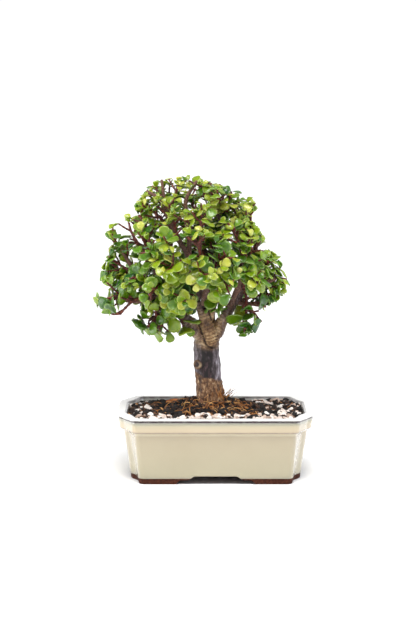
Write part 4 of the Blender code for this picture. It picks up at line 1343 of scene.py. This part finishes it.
# %% [markdown]
# ## The leaves
#
# A leaf of elephant bush is a round fleshy blade about 12 mm long, narrow only at its root,
# thicker in the middle and slightly cupped. The leaves sit in opposite pairs, each pair a
# quarter turn from the last, and crowd into a rosette at the tip. A leaf is modelled once from a
# ball with few faces, flattened and drawn out; nearly two thousand copies of a finer one would
# only slow the render.

# %% One leaf in five forms


# Brings the blade's widest place, at 0.65 of its length, to its stated width
BLADE_WIDTH = 0.75 / (0.35 + 0.9 * 0.65 - 0.3 * 0.65**2) / 0.72


def leaf_shape(wide, cup, droop, plump):
    """A blade one unit long from its root at the origin, facing +Z, with its rim marked 1."""
    bpy.ops.mesh.primitive_uv_sphere_add(segments=12, ring_count=4, radius=1)
    ball = bpy.context.object
    marks = []
    for vert in ball.data.vertices:
        x, y, z = vert.co
        marks.append(math.hypot(x, y))
        share = (1 + y) / 2
        side = x * 0.5 * wide * BLADE_WIDTH * (0.35 + 0.9 * share - 0.3 * share**2)
        wave = 0.035 * math.sin(5 * share + 7 * side)
        vert.co = (side, share, plump * z + cup * (2 * side) ** 2 - droop * share**2 + wave)
    shape = shape_of(ball)
    shape["marks"] = np.array(marks)
    return shape


# Width and cupping, how far the tip droops and how plump the blade is, all in leaf lengths
LEAF_FORMS = (
    (0.92, 0.12, 0.10, 0.075), (0.98, -0.08, 0.18, 0.085), (0.86, 0.22, 0.02, 0.07),
    (0.80, 0.35, 0.14, 0.07), (0.95, 0.02, -0.14, 0.08),
)
leaf_shapes = [leaf_shape(*form) for form in LEAF_FORMS]
print("faces in a leaf:", len(leaf_shapes[0]["faces"]))

# %% [markdown]
# A spray is planned as lines and placements before any mesh is made. Its main stem follows the
# planned way; short side shoots leave it in turn, and both carry pairs of leaves. A leaf turns
# its face partly to the light above and partly out of the crown.

# %% Planning one spray
CROWN_ROOM = 0.6 * MM
LOW_CORNER = CAD_BOX[0] - Vector((1, 1, 0)) * CROWN_ROOM
HIGH_CORNER = CAD_BOX[1] + Vector((1, 1, 1)) * CROWN_ROOM
CELL = 6  # millimetres, about the least gap between the middles of two leaves
LEAST_GAP = 0.4  # of a leaf's length
taken = {}


def has_room(middle, size):
    """Keeps leaves from lying in each other: looks in a grid of the middles already taken."""
    cell = tuple(math.floor(v / CELL) for v in middle)
    for steps in itertools.product((-1, 0, 1), repeat=3):
        for other in taken.get(tuple(c + step for c, step in zip(cell, steps)), ()):
            if (other - middle).length < LEAST_GAP * size:
                return False
    taken.setdefault(cell, []).append(middle)
    return True


# The crown is kept round with shears: how far it reaches to each side, seen from the front.
# Height, left and right in millimetres from the pot's middle
CROWN_SIDES = (
    (139, -52, 28), (148, -66, 40), (155, -78, 44), (163, -88, 48), (168, -120, 48), (176, -124, 50),
    (182, -127, 64), (200, -122, 80), (208, -122, 78), (216, -118, 68), (226, -114, 67),
    (234, -112, 65), (242, -110, 55), (250, -112, 50), (258, -114, 46), (267, -101, 38), (273, -98, 36),
    (279, -94, 39), (284, -90, 41), (293, -80, 39), (298, -75, 26), (303, -71, 10), (309, -62, -12),
    (315, -42, -16), (322, -34, -16),
)
# Between its branches the clipped crown has gaps. Middle across, middle up, half width, half
# height, and how far back from the trunk the gap goes
BACK = 200
CROWN_GAPS = (
    (-94, 259, 10, 9, BACK), (-85, 247, 7, 5, BACK), (-98, 220, 7, 4, BACK), (-86, 226, 4, 3, BACK),
    (-116, 195, 5, 6, BACK), (-94, 171, 14, 8, BACK), (-66, 163, 7, 7, BACK), (-58, 271, 8, 4, BACK),
    (-45, 299, 4, 4, BACK), (-22, 298, 6, 4, BACK), (-13, 288, 5, 3, BACK), (6, 291, 6, 4, BACK),
    (49, 239.5, 10, 5, BACK), (44.5, 190, 5, 6, BACK), (31, 184, 6, 6, BACK), (42.5, 172, 6.5, 9, BACK),
    (18, 151, 5, 4, BACK), (-66, 187, 5, 4, BACK), (-65, 247, 3, 4, BACK), (-31, 140, 14, 5, BACK),
    (26, 186, 9, 12, 0), (-22, 240, 20, 11, 4), (-38, 262, 9, 8, 0),
)
CROWN_HEIGHTS, CROWN_LEFTS, CROWN_RIGHTS = zip(*CROWN_SIDES)
SIDE_ROOM = 0.5
EYE_BACK = CAMERA_BACK / MM
EYE_HEIGHT = CAMERA_HEIGHT / MM


def inside_crown(place):
    """Whether a place, seen from the front, is within the crown's clipped outline and in no gap."""
    nearer = EYE_BACK / (EYE_BACK + place.y)
    across = place.x * nearer
    height = EYE_HEIGHT + (place.z - EYE_HEIGHT) * nearer
    for middle, up, wide, tall, back in CROWN_GAPS:
        if place.y < back and ((across - middle) / wide) ** 2 + ((height - up) / tall) ** 2 < 1:
            return False
    left = np.interp(height, CROWN_HEIGHTS, CROWN_LEFTS)
    right = np.interp(height, CROWN_HEIGHTS, CROWN_RIGHTS)
    return left - SIDE_ROOM < across < right + SIDE_ROOM and height > CROWN_HEIGHTS[0]


def leaf_tone_and_painted_light(rng, middle, young):
    """0 dark bluish green to 1 pale lime: palest at young tips, with painted light on top and painted shade
    behind and low right.
    """
    # Painted light: leaves at the top of the crown are lighter, and painted shade makes those behind and
    # low at the right darker
    tone = 0.46 + 0.16 * rng.gauss(0, 1) + 0.08 * young + (0.13 if middle.z > 262 else 0)
    tone += 0.18 * hill(middle.x + 28, 34) * hill(middle.z - 225, 42)
    tone += 0.03 if middle.x > 22 else 0
    tone -= 0.12 if middle.y > 8 else 0.02
    tone -= 0.24 * hill(middle.x - 35, 28) * hill(middle.z - 158, 25)
    return clamp(tone)


# The front leaves stand in clumps with hollows between: a noise as wide as a clump leaves some
# out. It spares large leaves and those further back than FRONT_DEPTH
CLUMP = 15.0
MOST_CLUMP = 0.13
LARGE_LEAF = 15.5
FRONT_DEPTH = 4
LEAF_STALK = 0.6  # how far off the shoot's line a blade's root stands


def add_leaf(rng, leaves, base, way, side, tilt, size, outward, young):
    """Places a leaf at the base, tilted away from the shoot's own way, if the crown has room for it."""
    along = (way * math.cos(tilt) + side * math.sin(tilt)).normalized()
    inner_face = way * math.sin(tilt) - side * math.cos(tilt)
    jitter = Vector((rng.gauss(0, 0.22), rng.gauss(0, 0.22), rng.gauss(0, 0.22)))
    near_top = between(base.z, 190, 250)
    to_light = Vector((0, -0.12, 0.35 + 0.6 * near_top))
    face = inner_face * 0.45 + outward * (0.65 - 0.4 * near_top) + to_light + jitter
    face = (face - along * face.dot(along)).normalized()
    across = along.cross(face)
    middle = base + along * size * 0.55
    low, high = to_world(middle), to_world(base + along * size)
    inside = all(LOW_CORNER[i] < p[i] < HIGH_CORNER[i] for p in (low, high) for i in range(3))
    in_hollow = middle.y < FRONT_DEPTH and size < LARGE_LEAF and noise.noise(middle / CLUMP) > MOST_CLUMP
    clipped = not (inside_crown(base + along * size) and inside_crown(middle))
    if clipped or not inside or in_hollow or not has_room(middle, size):
        return
    turn = Matrix((across, along, face)).transposed() * size * MM
    matrix = Matrix.Translation(to_world(base + along * LEAF_STALK)) @ turn.to_4x4()
    leaves.append((rng.randrange(len(leaf_shapes)), matrix, leaf_tone_and_painted_light(rng, middle, young)))


def sideways(way, outward, turn):
    """A direction square to a shoot, turned round it from where it lies across the crown."""
    across = way.cross(outward + Vector((0.02, 0.01, 0.03))).normalized()
    radial = across.cross(way).normalized()
    return across * math.cos(turn) + radial * math.sin(turn)


def leaf_pairs(rng, leaves, line, outward, bare, spacing, size):
    """Opposite pairs from the tip down, the youngest small and half folded.

    Gives how far along the line the outermost leaf stands, or 0 if none found room.
    """
    before = len(leaves)
    furthest = 0.0
    distance = path_lengths(line)[-1] - 0.3
    node = 0
    while distance > bare:
        base, way = path_at(line, distance)
        side = sideways(way, outward, math.radians(45 + 90 * node + rng.uniform(-18, 18)))
        grown = size * min(1.0, 0.62 + 0.2 * node)
        for sign in (-1, 1):
            tilt = math.radians(rng.uniform(28, 52) if node == 0 else rng.uniform(50, 84))
            length = grown * rng.uniform(0.78, 1.2)
            add_leaf(rng, leaves, base, way, side * sign, tilt, length, outward, 1.0 if node < 2 else 0.0)
        if len(leaves) > before and not furthest:
            furthest = distance
        distance -= spacing * rng.uniform(0.85, 1.15) * (0.4 if node == 0 else 1.0)
        node += 1
    return furthest


def side_shoot(rng, line, share, turn, length, outward):
    """A short shoot that leaves a line at a share of its length and bends up and out."""
    base, way = path_at(line, share * path_lengths(line)[-1])
    side = sideways(way, outward, turn)
    heading = (way * 0.55 + side * 0.85 + outward * 0.2).normalized()
    lift = (outward * 0.5 + Vector((0, 0, 0.5))) * length * 0.22
    return [base, base + heading * length * 0.5 + lift * 0.25, base + heading * length + lift]


LEAF_SIZE = 14.2
PAIR_SPACING = 6.4
# A side shoot's leaves are smaller and closer
SHOOT_LEAF = 0.92
SHOOT_SPACING = 5.0
# From this size of leaf on, a spray is one stem with a few large leaves
FEW_LEAVES = 1.2
GOLDEN_ANGLE = math.radians(137.5)
SCAR_SPACING = 1.6
# How far along the stem each side shoot leaves it, and its length; a long branch has two more
SHOOTS = ((0.2, 18), (0.38, 17), (0.55, 16), (0.72, 14), (0.88, 10))
LONG_BRANCH = 14
BRANCH_SHOOTS = ((0.45, 14), (0.85, 13))


def knobbly(line, thick, thin):
    """A shoot's points and radii, thicker at its leaf scars and tapering to its tip."""
    total = path_lengths(line)[-1]
    count = max(int(total / SCAR_SPACING), 3)
    knots = []
    for i, point in enumerate(sub_path(line, 0, total, count + 1)):
        knots.append((point, (thick + (thin - thick) * i / count) * (1.22 if i % 3 == 0 else 0.94)))
    return knots


def larger_low(height):
    """The lowest leaves get the least light and grow largest; the clipped top has small young ones."""
    return 1 + 0.22 * between(height, 205, 165) - 0.18 * between(height, 240, 285)


def plan_leaves(number, spray, size):
    """The lines of a spray's stem and shoots, and the placements of its leaves."""
    rng = random.Random(500 + number)
    stem = spray["stem"]
    branch = spray["branch"]
    outward = outward_at(stem[-1])
    few = size > FEW_LEAVES
    leaves = []
    lines = []
    bare = min(20, 0.5 * path_lengths(stem)[-1]) if few else 6
    leaf_size = LEAF_SIZE * size * larger_low(stem[-1].z)
    reach = leaf_pairs(rng, leaves, stem, outward, bare, PAIR_SPACING, leaf_size)
    turn = rng.uniform(0, math.tau)
    origins = [(stem, share, length) for share, length in SHOOTS]
    if path_lengths(branch)[-1] > LONG_BRANCH:
        origins += [(branch, share, length) for share, length in BRANCH_SHOOTS]
    for carrier, share, length in () if few else origins:
        turn += GOLDEN_ANGLE
        shoot = side_shoot(rng, carrier, share, turn, length * rng.uniform(0.75, 1.25), outward)
        facing = (outward + outward_at(shoot[-1])) / 2
        leaf_size = SHOOT_LEAF * LEAF_SIZE * size * larger_low(shoot[-1].z)
        shoot_reach = leaf_pairs(rng, leaves, shoot, facing, 3.5, SHOOT_SPACING, leaf_size)
        if shoot_reach:
            lines.append(knobbly(sub_path(shoot, 0, shoot_reach, 5), 1.2, 0.85))
            reach = max(reach, share * path_lengths(stem)[-1] if carrier is stem else 0)
    start = branch[-1] + (branch[-1] - stem[0]).normalized()
    lines.append(knobbly([start, *sub_path(stem, 0, max(reach, 4), 8)], 1.75, 1.15))
    return lines, leaves


# %% [markdown]
# ** Leaf green.** The blade is a waxy green skin over clear watery flesh, so light sinks in a
# little and comes out yellower, and the thin rim looks pale. Subsurface scattering gives the
# first, and the mark stored on the rim gives the second. Each leaf has its own tone from dark
# bluish green to lime; the tone also holds painted light, lighter at the top of the crown, and
# painted shade, darker behind and low at the right.

# %% Waxy leaf and young shoot
leaf_green = new_material(
    "waxy_succulent_leaf",
    Roughness=0.3,
    IOR=1.45,
    Coat_Weight=0.22,
    Coat_Roughness=0.2,
    Subsurface_Weight=0.3,
    Subsurface_Radius=(0.7, 1.0, 0.15),
    Subsurface_Scale=0.0025,
)
mottle = speckle(leaf_green, object_place(leaf_green), 260.0, 3.0)
# The stored tone also carries painted light and shade by place in the crown
shift = times_plus(leaf_green, mottle, 0.22, stored(leaf_green, "tone"))
level = rescaled(leaf_green, shift, 0.1, 1.12)
green = ramp(
    leaf_green,
    level,
    (0.0, "#174626"), (0.22, "#2A5607"), (0.45, "#527A07"), (0.65, "#809612"), (0.83, "#A9AE3A"),
    (1.0, "#C9CA68"),
)
pale_rim = ramp(leaf_green, level, (0.0, "#5F8A3A"), (1.0, "#D6DA86"))
pale = rescaled(leaf_green, stored(leaf_green, "mark"), 0.72, 1.0, 0.0, 0.42)
leaf_colour = blend_colours(leaf_green, pale, green, pale_rim)
dress(leaf_green, leaf_colour, relief(leaf_green, mottle, 0.12, 0.0006))

shoot_bark = new_material("red_brown_young_shoot", Roughness=0.5, IOR=1.45)
bands = speckle(shoot_bark, object_place(shoot_bark), 380.0, 3.0)
shoot_reds = ((0.3, "#351715"), (0.5, "#5A2A22"), (0.65, "#84402E"), (0.8, "#A86A48"))
dress(shoot_bark, ramp(shoot_bark, bands, *shoot_reds))
print("leaf and shoot dressed")

# %% Growing the crown
leaf_count = 0
for number, (spray, tip) in enumerate(zip(sprays, SPRAY_TIPS + FILLING_TIPS), 1):
    lines, leaves = plan_leaves(number, spray, tip[3])
    if not leaves:
        print("no room for leaves on spray", number)
        continue
    shoots = tubes("shoots", [[(to_world(p), r) for p, r in line] for line in lines], 1)
    shoots.data.materials.append(shoot_bark)
    blades = many("blades", leaf_shapes, leaves)
    blades.data.materials.append(leaf_green)
    pick(blades, shoots)
    bpy.ops.object.join()
    shoots.data.shade_smooth()
    leaf_count += len(leaves)
    stands_for = [f"spray_{number:02d}"] if number <= len(SPRAY_TIPS) else []
    finish_piece(shoots, f"leafy_spray_{number:02d}", None, "leaf", *stands_for)
print(leaf_count, "leaves in the crown")
